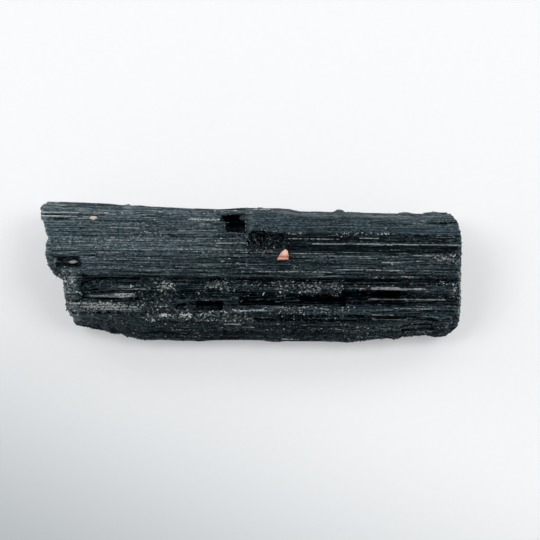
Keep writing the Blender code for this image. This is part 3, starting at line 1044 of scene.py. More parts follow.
class MaterialSheet(NodeSheet):
    """A new material's nodes, with its shader and its piece's own coordinates."""

    # How high a soft share and a speckle together are where a speck begins, and where it is full
    speck_edges: Point = (0.35, 1.15)
    # How fast specks come in as the soft share rises from 0
    speck_gate: float = 4.0

    def __init__(self, name: str) -> None:
        """Starts a material.

        Args:
            name: the material's name.
        """
        self.material = bpy.data.materials.new(name)
        self.material.use_nodes = True
        super().__init__(self.material.node_tree)
        self.shader = self.tree.nodes["Principled BSDF"]
        self.place = self.add("ShaderNodeTexCoord").outputs["Object"]

    def settle(self, values: dict[str, object]) -> None:
        """Sets what is the same all over the surface, on the shader's own sockets."""
        for name, value in values.items():
            self.feed(value, self.shader.inputs[name])

    def pattern(self, pattern: Pattern) -> bpy.types.Node:
        """Places the shared mineral group, with the pattern's own values.

        Args:
            pattern: how fine and how long its specks are.

        Returns:
            The node, with its mask and its height.
        """
        node = self.add("ShaderNodeGroup", node_tree=mineral_speckle())
        for name, value in zip(("Place", "Scale", "Stretch"), (self.place, *pattern)):
            self.feed(value, node.inputs[name])
        return node

    def mix(self, first: object, second: object, share: Socket, numbers: bool = False) -> Socket:
        """Mixes two colours or two numbers.

        Args:
            first, second: what is mixed, each as a socket or its value.
            share: how much of the second there is.
            numbers: whether they are numbers.

        Returns:
            What comes of it.
        """
        node = self.add("ShaderNodeMix", data_type="FLOAT" if numbers else "RGBA")
        inlets, outlet = ((0, 2, 3), 0) if numbers else ((0, 6, 7), 2)
        for index, value in zip(inlets, (share, first, second)):
            self.feed(value, node.inputs[index])
        return node.outputs[outlet]

    def mask(self, soft: Socket, speckle: Socket, bite: float) -> Socket:
        """Breaks a soft share into specks: where both it and the speckle are high.

        Args:
            soft: the soft share.
            speckle: a pattern from 0 to 1.
            bite: how much the speckle takes away.

        Returns:
            The broken share.
        """
        start, full = self.speck_edges
        specks = self.remap(self.calculate("ADD", soft, speckle), (start + bite, full + bite))
        gate = self.calculate("MULTIPLY", soft, self.speck_gate, clamp=True)
        return self.calculate("MULTIPLY", specks, gate)

    def stripe(self, y: float, width: float) -> Socket:
        """A soft stripe across the piece at one y.

        Args:
            y: the stripe's middle.
            width: how far it fades to each side.

        Returns:
            The stripe's share.
        """
        split = self.add("ShaderNodeSeparateXYZ")
        self.link(self.place, split.inputs[0])
        away = self.calculate("ABSOLUTE", self.calculate("SUBTRACT", split.outputs["Y"], y))
        return self.remap(away, (0.0, width), (1.0, 0.0))

    def bump(self, layers: tuple[tuple[Socket, float], ...]) -> None:
        """Chains bump layers into the shader's normal.

        Args:
            layers: each layer's height from 0 to 1, and how deep it is in metres.
        """
        normal = None
        for height, depth in layers:
            node = self.add("ShaderNodeBump")
            node.inputs["Distance"].default_value = depth
            self.link(height, node.inputs["Height"])
            if normal:
                self.link(normal, node.inputs["Normal"])
            normal = node.outputs["Normal"]
        self.link(normal, self.shader.inputs["Normal"])


def mineral_speckle() -> bpy.types.NodeTree:
    """The group that every mineral shares: a fine irregular speckle, as a mask and as a height.

    Returns:
        The group, made on its first use.
    """
    name = "mineral speckle"
    if name in bpy.data.node_groups:
        return bpy.data.node_groups[name]
    nodes = NodeSheet(bpy.data.node_groups.new(name, "ShaderNodeTree"))
    for side, labels in (("INPUT", ("Place", "Scale", "Stretch")), ("OUTPUT", ("Mask", "Height"))):
        for label in labels:
            kind = "NodeSocketVector" if label == "Place" else "NodeSocketFloat"
            nodes.tree.interface.new_socket(label, in_out=side, socket_type=kind)
    inlet = nodes.add("NodeGroupInput")
    outlet = nodes.add("NodeGroupOutput")
    split = nodes.add("ShaderNodeSeparateXYZ")
    nodes.link(inlet.outputs["Place"], split.inputs[0])
    squeezed = nodes.add("ShaderNodeCombineXYZ")
    along_x = nodes.calculate("MULTIPLY", split.outputs["X"], inlet.outputs["Stretch"])
    nodes.link(along_x, squeezed.inputs["X"])
    for axis in ("Y", "Z"):
        nodes.link(split.outputs[axis], squeezed.inputs[axis])
    fine = nodes.add("ShaderNodeTexNoise")
    for label, value in (("Detail", 3.0), ("Roughness", 0.6), ("Scale", inlet.outputs["Scale"])):
        nodes.feed(value, fine.inputs[label])
    nodes.link(squeezed.outputs[0], fine.inputs["Vector"])
    nodes.link(nodes.remap(fine.outputs["Fac"], (0.34, 0.66)), outlet.inputs["Mask"])
    nodes.link(fine.outputs["Fac"], outlet.inputs["Height"])
    return nodes.tree


def patch_share(patch: Patch | Zone, x: Array, y: Array, slopes: tuple[float, float, float]) -> Array:
    """How much of a patch each place takes.

    Args:
        patch: the patch or zone.
        x, y: the places, from above.
        slopes: how wide its edges are at its ends, its front and its back.

    Returns:
        The share, from 0 to 1.
    """
    middle = 0.5 * (max(patch.left, -LENGTH / 2) + min(patch.right, LENGTH / 2))
    level = y - GRAIN_SLOPE * (x - middle)
    share = ramp(x, patch.left, slopes[0]) * ramp(-x, -patch.right, slopes[0])
    return share * ramp(level, patch.front, slopes[1]) * ramp(-level, -patch.back, slopes[2])


# How wide the edges of regions, granular zones and rusty threads are, at their ends, front and back
REGION_EDGES = (0.6, 0.3, 0.3)
ZONE_EDGES = (1.4, 0.5, 0.5)
THREAD_EDGES = (1.5, 0.16, 0.16)
THREAD_HALF_WIDTH = 0.2


def facing_up(rise: Array) -> Array:
    """How far a surface counts as the top, from how steeply its normal rises."""
    return ramp(rise, 0.05, 0.3)


def kept_share(rise: Array) -> Array:
    """How many of the ribs and flakes are kept, from how steeply the normal rises: few underneath."""
    return np.where(rise > -0.2, 1.0, 0.3)


def dusted(dust_and_painted_light: Array) -> Array:
    """1 where a region holds dust, for the painted glints lie only there, and 0 where it is clean."""
    return ramp(dust_and_painted_light, 0.02, 0.1)


def region_shares(x: Array, y: Array, upper: Array) -> tuple[Array, Array]:
    """How strong the ribs are, and how much dust and painted light the skin takes.

    Args:
        x, y: the places, from above.
        upper: 1 on the top and 0 below.

    Returns:
        The two shares.
    """
    ribs = np.full_like(x, PLAIN_RIBS)
    dust_and_painted_light = np.full_like(x, PLAIN_DUST)
    for region in REGIONS:
        inside = upper * patch_share(region, x, y, REGION_EDGES)
        ribs += inside * (region.ribs - ribs)
        dust_and_painted_light += inside * (region.dust_and_painted_light - dust_and_painted_light)
    return ribs, dust_and_painted_light


def zone_shares(x: Array, y: Array) -> tuple[Array, Array, Array]:
    """How granular, pale and rusty the top is.

    Args:
        x, y: the places, from above.

    Returns:
        The three shares.
    """
    flat = np.zeros_like(x)
    ragged_x = x + 0.7 * cloud(x * 0.7, y * 1.4, flat, 21)
    ragged_y = y + 0.35 * cloud(x * 0.5, y * 1.6, flat, 22)
    grain = np.zeros_like(x)
    pale = np.zeros_like(x)
    rust = np.zeros_like(x)
    for zone in ZONES:
        share = patch_share(zone, ragged_x, ragged_y, ZONE_EDGES)
        grain = np.maximum(grain, share * zone.grain)
        pale = np.maximum(pale, share * zone.pale)
        rust = np.maximum(rust, share * zone.rust)
    wander = 0.12 * cloud(x * 0.3, y * 0.8, flat, 23)
    for start, stop, level in RUST_LINES:
        line = Patch(start, stop, level - THREAD_HALF_WIDTH, level + THREAD_HALF_WIDTH, 1.0)
        rust = np.maximum(rust, patch_share(line, ragged_x, y + wander, THREAD_EDGES))
    return grain, pale, rust


@dataclass
class TourmalineCrystal:
    """The crystal: a block with a fine lattice of faces, wrapped onto its section and carved."""

    finish: TourmalineFinish = field(default_factory=TourmalineFinish)
    cells: tuple[int, int, int] = (20, 8, 8)
    splits: int = 5
    most_triangles: int = 192000
    crease: float = 12.0
    middle_height: float = 0.46
    lean_per_mm: float = 0.12
    most_lean: float = 0.1
    big_blocks: tuple[int, float] = (46, 0.5)
    small_blocks: tuple[int, float] = (190, 0.22)
    right_end_shares: Point = (0.7, 0.6)
    ridge_ends: float = 1.6
    ridge_front: float = 0.1
    groove_back: float = 0.12
    land: tuple[float, float, float] = (27.0, -4.6, 3.4)
    land_rise: float = 1.0
    painted_light_crest_depth: float = 0.025
    columns: Ribbing = Ribbing(
        seed=SEED + 1, width=(1.9, 4.6), length=(14.0, 48.0), rise=(-1.5, 0.2), tilt=0.16, jag=0.9,
        taper=(0.2, 5.0),
    )
    ribs: Ribbing = Ribbing(
        seed=SEED + 2, width=(0.5, 1.3), length=(12.0, 80.0), rise=(-0.15, 0.15), tilt=0.16, jag=0.5,
        crown=0.05, taper=(0.05, 0.8), groove=0.45,
    )
    striae: Ribbing = Ribbing(
        seed=SEED + 3, width=(0.24, 0.5), length=(5.0, 40.0), rise=(-0.04, 0.04), tilt=0.22, jag=0.4,
        crown=0.08, taper=(0.05, 0.6),
    )

    def block(self) -> Piece:
        """Adds a block of side 2 and cuts its faces into the fine lattice.

        Returns:
            The block.
        """
        deselect()
        bpy.ops.mesh.primitive_cube_add(size=2.0)
        block = bpy.context.object
        block.name = "crystal_dressed"
        bpy.ops.object.mode_set(mode="EDIT")
        for axis, cells in enumerate(self.cells):
            cut_edges(block, axis, 1.5, cells - 1)
        bpy.ops.object.mode_set(mode="OBJECT")
        fine = block.modifiers.new("fine lattice", "SUBSURF")
        fine.subdivision_type = "SIMPLE"
        fine.levels = self.splits
        fine.render_levels = self.splits
        apply_modifier(block, fine.name)
        return block

    @staticmethod
    def turn_of(v: Array, w: Array) -> tuple[Array, Array]:
        """How far round the square each lattice point is.

        Args:
            v: its place across, from -1 to 1.
            w: its place up, from -1 to 1.

        Returns:
            The turn from 0 to 1, from the back top corner, and how far out it is from 0 to 1.
        """
        reach = np.maximum(np.maximum(np.abs(v), np.abs(w)), 1e-9)
        v = v / reach
        w = w / reach
        edge = 1.0 - 1e-6
        turn = np.where(w >= edge, (1.0 - v) / 8, 0.0)
        turn = np.where((v <= -edge) & (w < edge), (3.0 - w) / 8, turn)
        turn = np.where((w <= -edge) & (v > -edge), (5.0 + v) / 8, turn)
        turn = np.where((v >= edge) & (w > -edge) & (w < edge), (7.0 + w) / 8, turn)
        return turn % 1.0, reach

    @staticmethod
    def end_blocks(rng: Dice, y: Array, z: Array, count: int, roughness: float, step: float = 0.06) -> Array:
        """How far the broken columns stand out at an end.

        Args:
            rng: the source of the blocks.
            y, z: the places on the end.
            count: how many blocks there are.
            roughness: how far they stand out at most.
            step: how finely the end is mapped.

        Returns:
            How far each place stands out.
        """
        seats = rng.uniform(END_LOWEST, END_HIGHEST, (count, 2))
        rises = rng.uniform(-roughness, roughness, count)
        rows = np.arange(END_LOWEST[0] - 1.0, END_HIGHEST[0] + 1.0, step)
        columns = np.arange(END_LOWEST[1] - 1.0, END_HIGHEST[1] + 1.0, step)
        gaps = np.full((len(rows), len(columns)), np.inf)
        relief = np.zeros_like(gaps)
        for seat, rise in zip(seats, rises):
            gap = np.hypot(rows[:, None] - seat[0], columns[None, :] - seat[1])
            closer = gap < gaps
            gaps = np.where(closer, gap, gaps)
            relief = np.where(closer, rise, relief)
        row = np.clip(np.rint((y - rows[0]) / step).astype(int), 0, len(rows) - 1)
        column = np.clip(np.rint((z - columns[0]) / step).astype(int), 0, len(columns) - 1)
        return relief[row, column]

    def ends(self, y: Array, z: Array) -> tuple[Array, Array]:
        """Where the two broken ends lie.

        Args:
            y, z: the places across and up.

        Returns:
            The x of the left end and of the right end.
        """
        wander = 0.30 * cloud(y * 0.9, z * 0.9, np.zeros_like(y), 5)
        rough = 0.10 * cloud(y * 2.6, z * 2.6, np.zeros_like(y), 6)
        rough = rough + 0.06 * cloud(y * 6.0, z * 6.0, np.zeros_like(y), 7)
        rng = np.random.default_rng(SEED)
        small_rng = np.random.default_rng(SEED + 9)
        sides = []
        for _ in range(2):
            big = self.end_blocks(rng, y + wander, z - wander, *self.big_blocks)
            sides.append((big, self.end_blocks(small_rng, y + wander, z + wander, *self.small_blocks)))
        lean = np.minimum(self.lean_per_mm * (self.middle_height * HEIGHT - z), self.most_lean)
        (left_big, left_small), (right_big, right_small) = sides
        big_share, small_share = self.right_end_shares
        left = along(y, LEFT_END) + left_big + left_small + rough
        right = along(y, RIGHT_END) + big_share * right_big + small_share * right_small - rough + lean
        return np.maximum(left, -END_LIMIT), np.minimum(right, END_LIMIT)

    def patches(self, x: Array, y: Array) -> Array:
        """How far the ledges, pits, ridges and grooves raise the top.

        Args:
            x, y: the places, from above.

        Returns:
            The relief.
        """
        flat = np.zeros_like(x)
        comb = cloud(x * 0.06, y * 1.3, flat, 15) + 0.3 * cloud(x * 0.8, y * 2.6, flat, 11)
        ragged_y = y + 0.16 * cloud(x * 0.45, y * 0.8, flat, 12) + 0.05 * cloud(x * 2.4, y * 1.5, flat, 13)
        relief = np.zeros_like(x)
        for patch in (*LEDGES, LEFT_SLOPE):
            slopes = (patch.end_slope, patch.front_slope, patch.back_slope)
            relief += patch.rise * patch_share(patch, x + patch.jag * comb, ragged_y, slopes)
        thin_y = y + 0.06 * cloud(x * 0.3, y * 0.8, flat, 14)
        for patch in RIDGES:
            ridge_back = patch.back - patch.front - self.ridge_front
            slopes = (self.ridge_ends, self.ridge_front, ridge_back if patch.rise > 0.0 else self.groove_back)
            relief += patch.rise * patch_share(patch, x + comb, thin_y, slopes)
        return relief

    @staticmethod
    def lumps(x: Array, z: Array, out_y: Array) -> Array:
        """How far the small lumps on the outline stand out.

        Args:
            x, z: the places along and up.
            out_y: how far the surface faces the back.

        Returns:
            The relief.
        """
        relief = np.zeros_like(x)
        for side, lumps in ((1.0, BACK_LUMPS), (-1.0, FRONT_LUMPS)):
            facing = ramp(side * out_y, 0.5, 0.3) * ramp(z, 2.0, 4.0) * ramp(-z, -16.0, 3.0)
            for place, half, rise in lumps:
                relief += rise * facing * np.sqrt(np.maximum(1.0 - ((x - place) / half) ** 2, 0.0))
        return relief

    def carve(self, points: Array) -> Array:
        """Wraps the block's lattice points onto the crystal.

        Args:
            points: the lattice points, from -1 to 1 each way.

        Returns:
            The carved points, in millimetres.
        """
        section = Section.trace()
        share = 0.5 * (points[:, 0] + 1.0)
        turn, reach = self.turn_of(points[:, 1], points[:, 2])
        left, right = self.ends(*section.place(turn, (share - 0.5) * LENGTH))
        x = left + share * (right - left)

        y, z = section.place(turn, x)
        out_y, out_z = section.outward(turn, x)
        relief, lift = self.relief(section, turn, x, y, z, out_y, out_z)
        y = y + relief * out_y
        z = z + relief * out_z + lift

        middle_y = 0.5 * (along(x, BACK_EDGE) + along(x, FRONT_EDGE))
        middle_z = self.middle_height * HEIGHT
        y = middle_y + reach * (y - middle_y)
        z = np.maximum(middle_z + reach * (z - middle_z), 0.0)
        left, right = self.ends(y, z)
        x = left + share * (right - left)
        return np.stack([x, y, z], axis=1)

    def relief(
        self, section: Section, turn: Array, x: Array, y: Array, z: Array, out_y: Array, out_z: Array
    ) -> tuple[Array, Array]:
        """How far each point of the skin stands out from the section.

        Args:
            section: the rounded section.
            turn: how far round each point is.
            x, y, z: where it lies on the plain section.
            out_y, out_z: the section's normal there.

        Returns:
            The relief along the normal, and the lift straight up.
        """
        flat = np.zeros_like(x)
        top = ramp(out_z, 0.75, 0.15) * ramp(y, -2.0, 2.0)
        edge = ramp(np.abs(out_y), 0.8, 0.15)
        travel = section.straight(turn, x)
        drift = travel + 0.03 * cloud(x * 0.05, travel * 0.3, flat, 31)
        upper = ramp(z, 0.2 * HEIGHT, 0.2 * HEIGHT) * facing_up(out_z)
        grain, _, _ = zone_shares(x, y)
        grain = grain * upper
        cells = (np.floor(part).astype(np.int64) for part in (x * 1.5 + drift * 0.7, drift * 2.4, flat))
        blocks = hashed(*cells, 35)
        coarse = 0.5 * cloud(x * 1.6, y * 2.4, z * 2.4, 32) + 0.5 * cloud(x * 3.6, y * 4.6, z * 4.6, 33)
        fine = cloud(x * 5.0, y * 8.0, z * 8.0, 34)
        columns = self.columns.relief(travel, x, section.perimeter)
        ribs = self.ribs.relief(drift, x, section.perimeter)
        striae = self.striae.relief(drift, x, section.perimeter)
        strength, _ = region_shares(x, y, upper)
        strength = strength * (1.0 - 0.4 * top) * (1.0 - 0.5 * np.minimum(grain, 1.0))
        relief = columns * (1.0 - 0.8 * top) * (1.0 - 0.3 * edge)
        relief = relief + strength * ribs + (0.4 + 0.6 * np.minimum(strength, 1.0)) * striae
        relief = relief + self.lumps(x + 0.4 * coarse, z, out_y)
        relief = relief + grain * (0.20 * coarse + 0.08 * blocks + 0.08 * fine) + 0.016 * fine
        half_length, front, back = self.land
        land = (out_z < -0.8) & (y > front) & (y < back) & (np.abs(x) < half_length)
        return np.where(land, self.land_rise, relief), upper * self.patches(x, y)

    def finishes(self, piece: Piece) -> Array:
        """How pale, rusty and broken the skin is at each point, and how much dust and painted light it takes.

        Args:
            piece: the carved crystal.

        Returns:
            A row of the four shares for each point.
        """
        points = to_plan(read_points(piece.data))
        normals = np.empty(len(points) * 3)
        piece.data.vertices.foreach_get("normal", normals)
        normals = normals.reshape(-1, 3)
        x, y, z = points.T
        grain, pale, rust = zone_shares(x, y)
        upper = ramp(z, 0.25 * HEIGHT, 0.1 * HEIGHT) * ramp(normals[:, 2], -0.1, 0.3)
        end_face = ramp(np.abs(normals[:, 0]), 0.45, 0.3) * ramp(np.abs(x), 44.0, 2.0)
        ribs, dust_and_painted_light = region_shares(x, y, upper)
        broad = cloud(x * 0.3, y * 0.24 + z * 0.1, z * 0.3, 36)
        mottle = ramp(0.5 * broad + 0.7 * cloud(x * 0.6, y * 0.8, z * 0.9, 37), -0.6, 1.1)
        pale = np.maximum(pale * upper, 0.36 * end_face * mottle)
        broken = np.maximum(np.maximum(grain * upper, 0.8 * end_face), 0.2 * np.minimum(ribs, 1.0))
        # Painted light: crests take more of the dust tone, as painted highlight, and grooves less, as painted
        # shade.
        crest = ramp(crests(piece.data, points, normals), -self.painted_light_crest_depth, 2.0 * self.painted_light_crest_depth)
        dust_and_painted_light = np.maximum(dust_and_painted_light, (0.2 + 0.8 * mottle) * end_face) * (0.3 + 1.4 * crest)
        return np.stack([pale, rust * upper, broken, dust_and_painted_light], axis=1)

    def build(self) -> Piece:
        """Makes the dressed crystal.

        Returns:
            The finished piece.
        """
        piece = self.block()
        write_points(piece.data, to_metres(self.carve(read_points(piece.data))))
        thin = piece.modifiers.new("thin", "DECIMATE")
        thin.ratio = self.most_triangles / (2 * len(piece.data.polygons))
        apply_modifier(piece, thin.name)
        paint(piece.data, self.finishes(piece))
        piece.data.materials.append(self.finish.material())
        take(piece)
        bpy.ops.object.shade_smooth_by_angle(angle=math.radians(self.crease))
        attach(piece, "root")
        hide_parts("crystal")
        return piece


@dataclass
class FeldsparGrain:
    """A grain of feldspar grown into the crystal's top: a prism, cut to its outline and broken on top."""

    name: str
    node: str
    finish: FeldsparFinish
    outline: tuple[Point, ...]
    top_cuts: tuple[tuple[float, float, float, float], ...]
    sink: float = 0.5
    roughness: float = 0.06
    bevel: float = 0.12
    splits: int = 3
    crease: float = 30.0

    def build(self) -> Piece:
        """Makes the grain where the frame has its node.

        Returns:
            The finished piece.
        """
        low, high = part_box(self.node)
        middle = 0.5 * (low + high)
        bottom = low.z - self.sink * MM
        tall = high.z - bottom
        deselect()
        bpy.ops.mesh.primitive_cube_add(size=1.0, location=(middle.x, middle.y, bottom + 0.5 * tall))
        piece = bpy.context.object
        piece.name = self.name
        piece.scale = (high.x - low.x, high.y - low.y, tall)
        apply_place(piece)
        bpy.ops.object.mode_set(mode="EDIT")
        for first, second in zip(self.outline, (*self.outline[1:], self.outline[0])):
            run = Vector((second[0] - first[0], second[1] - first[1], 0.0))
            place = Vector((middle.x + first[0] * MM, middle.y + first[1] * MM, 0.0))
            bisect(place, Vector((run.y, -run.x, 0.0)))
        for lean_x, lean_y, drop, steep in self.top_cuts:
            place = Vector((middle.x + lean_x * MM, middle.y + lean_y * MM, high.z - drop * MM))
            bisect(place, Vector((lean_x, lean_y, steep)))
        bpy.ops.mesh.select_all(action="SELECT")
        bpy.ops.mesh.bevel(offset=self.bevel * MM, segments=2)
        bpy.ops.mesh.select_all(action="SELECT")
        bpy.ops.mesh.quads_convert_to_tris()
        bpy.ops.mesh.subdivide(number_cuts=self.splits)
        bpy.ops.mesh.remove_doubles(threshold=0.00001)
        bpy.ops.mesh.normals_make_consistent(inside=False)
        bpy.ops.object.mode_set(mode="OBJECT")
        self.roughen(piece)
        piece.data.materials.append(self.finish.material())
        take(piece)
        bpy.ops.object.shade_smooth_by_angle(angle=math.radians(self.crease))
        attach(piece, "root")
        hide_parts(self.node)
        return piece

    def roughen(self, piece: Piece) -> None:
        """Breaks up the grain's faces with small steps.

        Args:
            piece: the grain.
        """
        points = read_points(piece.data) / MM
        broad = (points * 2.2).T
        narrow = (points * 5).T
        moves = [cloud(*broad, seed) + 0.5 * cloud(*narrow, seed) for seed in (51, 52, 53)]
        write_points(piece.data, (points + self.roughness * np.stack(moves, axis=1)) * MM)


@dataclass
class Ground:
    """The dressed crystal's surface, which smaller pieces are laid on."""

    form: TourmalineCrystal
    crystal: Piece
    end_margin: float = 0.6
    foot: float = 0.2

    def __post_init__(self) -> None:
        """Maps the surface, and traces the plain section under it."""
        self.tree = BVHTree.FromObject(self.crystal, bpy.context.evaluated_depsgraph_get())
        self.section = Section.trace()

    def hit(self, start: Array, course: Array, reach: float = 60.0) -> Array | None:
        """Where a straight line first meets the crystal.

        Args:
            start: where it starts, in millimetres.
            course: the way it goes.
            reach: how far it goes at most.

        Returns:
            The place, or None where it misses.
        """
        place, _, _, _ = self.tree.ray_cast(Vector(to_metres(start)), Vector(course), reach * MM)
        return None if place is None else to_plan(place)

    def above(self, x: float, y: float) -> Array | None:
        """Finds the top of the crystal.

        Args:
            x, y: where, from above.

        Returns:
            The place, or None off the crystal or on its foot.
        """
        place = self.hit((x, y, 2 * HEIGHT), (0.0, 0.0, -1.0))
        return place if place is not None and place[2] > self.foot * HEIGHT else None

    def skin(self, count: Array, x: Array, height: float = 4.0) -> tuple[Array, Array, Array]:
        """Finds the surface at many places round the section.

        Args:
            count: how far round, as straight lines along the crystal count it.
            x: how far along, or not a number where no place is wanted.
            height: how far off the plain section the search starts.

        Returns:
            The places, the plain section's normals there, and the surface's own. Misses aren't numbers.
        """
        turn = self.section.turn_at(count, x)
        y, z = self.section.place(turn, x)
        out_y, out_z = self.section.outward(turn, x)
        outward = np.stack([np.zeros_like(x), out_y, out_z], axis=-1)
        starts = to_metres(np.stack([x, y, z], axis=-1) + height * outward)
        places = np.full(starts.shape, np.nan)
        normals = np.full(starts.shape, np.nan)
        left, right = self.form.ends(np.nan_to_num(y), np.nan_to_num(z))
        wanted = (x > left + self.end_margin) & (x < right - self.end_margin)
        reach = 2 * height * MM
        for index in zip(*np.nonzero(wanted)):
            place, normal, _, _ = self.tree.ray_cast(Vector(starts[index]), Vector(-outward[index]), reach)
            if place is not None:
                places[index] = place
                normals[index] = normal
        return to_plan(places), outward, normals


@dataclass
class FineRibs:
    """The fine ribs along the crystal: long slim wedges that follow its surface, half sunk in it."""

    ground: Ground
    material: bpy.types.Material
    seed: int = 71
    count: int = 15000
    runs: tuple[int, ...] = (3, 5, 8, 12, 16)
    run_length: float = 1.5
    lengths: Point = (2.0, 26.0)
    widths: Point = (0.20, 0.50)
    heights: Point = (0.02, 0.11)
    sink: float = 0.14
    most_step: float = 0.20
    lowest: float = 0.4
    pale_share: float = 0.06
    seam_run: float = 0.7
    strands: float = 2.4
    strand_width: float = 0.28
    strand_height: float = 0.19
    painted_glint_share: float = 0.14

    @staticmethod
    def wedge(runs: int) -> Model:
        """Models a wedge: a three-sided bar along X from 0 to 1, cut into runs, with its crest up.

        Args:
            runs: how many runs it has.

        Returns:
            The wedge.
        """
        deselect()
        bpy.ops.mesh.primitive_cylinder_add(
            vertices=3, radius=1.0, depth=1.0, location=(0.5, 0.0, 0.0), rotation=(0.0, 0.5 * math.pi, 0.0)
        )
        bar = bpy.context.object
        apply_place(bar)
        bpy.ops.object.mode_set(mode="EDIT")
        cut_edges(bar, 0, 0.9, runs - 1)
        bpy.ops.object.mode_set(mode="OBJECT")
        return Model.of(bar)

    def courses(self, rng: Dice) -> tuple[Array, Array, Array]:
        """Follows the surface along every rib.

        Args:
            rng: the source of their places.

        Returns:
            The places along each, the outward normals there, and how many places each can use.
        """
        around = rng.uniform(0.0, self.ground.section.perimeter, self.count)
        left = rng.uniform(-0.53, 0.5, self.count) * LENGTH
        length = np.exp(rng.uniform(*np.log(self.lengths), self.count))
        steps = np.arange(self.runs[-1] + 1)
        wanted = steps <= np.maximum(length / self.run_length, self.runs[0])[:, None]
        x = np.where(wanted, left[:, None] + self.run_length * steps, np.nan)
        places, normals, _ = self.ground.skin(around[:, None], x)
        rise = np.einsum("rsa,rsa->rs", places, normals)
        good = np.isfinite(rise) & (places[:, :, 2] > self.lowest)
        good[:, 1:] &= np.abs(np.diff(rise, axis=1)) < self.most_step
        return places, normals, np.argmin(np.pad(good, ((0, 0), (0, 1))), axis=1)

    def build(self) -> Piece:
        """Lays the ribs on the crystal.

        Returns:
            The finished piece.
        """
        rng = np.random.default_rng(self.seed)
        models = {runs: self.wedge(runs) for runs in self.runs}
        copies = Copies()
        places, normals, kept = self.courses(rng)
        middle = places[:, 1]
        ribs, dust_and_painted_light = region_shares(middle[:, 0], middle[:, 1], facing_up(normals[:, 1, 2]))
        chance = np.minimum(ribs, 1.0) * kept_share(normals[:, 1, 2])
        for index in np.nonzero((kept > self.runs[0]) & (rng.uniform(size=self.count) < chance))[0]:
            runs = max(runs for runs in self.runs if runs < kept[index])
            height = rng.uniform(*self.heights) * (0.5 + 0.7 * ribs[index])
            pale = rng.uniform(0.3, 0.9) if rng.uniform() < self.pale_share else 0.0
            # A few ribs take a painted glint: more of the dust tone, only where the region holds dust.
            bright = dusted(dust_and_painted_light[index]) * rng.uniform(0.3, 0.9) * (rng.uniform() < self.painted_glint_share)
            finish = np.array([pale, 0.0, 0.3, dust_and_painted_light[index] * rng.uniform(0.1, 1.7) + bright])
            course = (places[index, : runs + 1], normals[index, : runs + 1])
            self.lay(rng, copies, models[runs], course, (rng.uniform(*self.widths), height), finish)
        # Pale ribs along the bright lines, partly pale film and partly painted highlights
        for line in PALE_FILM_AND_HIGHLIGHT_LINES:
            for _ in range(max(round(self.strands * line[3] / self.strand_width), 1)):
                self.seam(rng, copies, models, line)
        piece = copies.join("fine_ribs", self.material)
        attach(piece, "root")
        return piece

    def seam(self, rng: Dice, copies: Copies, models: dict[int, Model], line: tuple[float, ...]) -> None:
        """Lays a broken row of pale ribs along a straight line, partly a pale film and partly a painted
        highlight.

        Args:
            rng: the source of its breaks.
            copies: where the ribs are added.
            models: the straight wedges, by how many runs they have.
            line: the x where it starts and where it ends, its y in the middle and its width.
        """
        start, stop, level, width = line
        place = start + rng.uniform(0.0, 0.8)
        level = level + rng.uniform(-0.5, 0.5) * max(width - self.strand_width, 0.0)
        while place < stop - 1.0:
            runs = int(rng.choice(self.runs[:4]))
            reach = min(rng.uniform(0.7, 1.0) * runs * self.seam_run, stop - place)
            x = place + reach * np.linspace(0.0, 1.0, runs + 1)
            y = level + GRAIN_SLOPE * (x - 0.5 * (start + stop)) + rng.uniform(-0.04, 0.04)
            found = [self.ground.above(*spot) for spot in zip(x, y)]
            place += reach + rng.uniform(-0.3, 0.9)
            if any(spot is None for spot in found):
                continue
            course = np.array(found)
            highest = np.maximum(course[:-1, 2], course[1:, 2])
            course[:-1, 2] = np.maximum(course[:-1, 2], highest - 0.1)
            course[1:, 2] = np.maximum(course[1:, 2], highest - 0.1)
            finish = np.array([rng.uniform(0.1, 0.8) + 1.1 * width, 0.0, 0.2, 0.8])
            form = (self.strand_width * rng.uniform(0.6, 1.2), self.strand_height * rng.uniform(0.6, 1.3))
            normals = np.array([[0.0, 0.0, 1.0]] * len(course))
            self.lay(rng, copies, models[runs], (course, normals), form, finish)

    def lay(
        self, rng: Dice, copies: Copies, model: Model, course: tuple[Array, Array], form: Point, finish: Array
    ) -> None:
        """Bends one wedge along its course.

        Args:
            rng: the source of its lean and its waves.
            copies: where it is added.
            model: the straight wedge.
            course: the places along it and the outward normals there.
            form: its width and its height.
            finish: how pale, rusty and broken it is, and how much dust and painted light it takes.
        """
        places, normals = course
        width, height = form
        lean = rng.uniform(-0.8, 0.8)
        spots = model.points[:, 0] * (len(places) - 1)
        crest = model.points[:, 2] > 0.5
        index = np.arange(len(places))
        centre = np.stack([np.interp(spots, index, places[:, axis]) for axis in range(3)], axis=1)
        normal = np.stack([np.interp(spots, index, normals[:, axis]) for axis in range(3)], axis=1)
        side = np.stack([0.0 * normal[:, 0], -normal[:, 2], normal[:, 1]], axis=1)
        wave = 0.8 + 0.2 * np.sin(spots * 1.7 + rng.uniform(0.0, math.tau))
        taper = ramp(np.minimum(spots, len(places) - 1 - spots), -0.25, 0.8)
        up = np.where(crest, height * wave * taper, -self.sink)
        across = np.where(crest, lean * 0.5 * width, np.sign(model.points[:, 1]) * 0.5 * width)
        finishes = np.repeat(finish[None], len(crest), axis=0)
        # Painted light: the crest takes more of the dust tone, as painted highlight, and the sunk foot less,
        # as painted shade.
        finishes[:, 3] *= np.where(crest, 1.5, 0.3)
        copies.add(model, (centre + normal * up[:, None] + side * across[:, None])[None], finishes[None])


class Seats(NamedTuple):
    """Where flakes lie, their normals, and how granular and ribbed it is there, its dust and painted light,
    and how pale and rusty it is.
    """

    places: Array
    normals: Array
    grain: Array
    ribs: Array
    dust_and_painted_light: Array
    pale: Array
    rust: Array


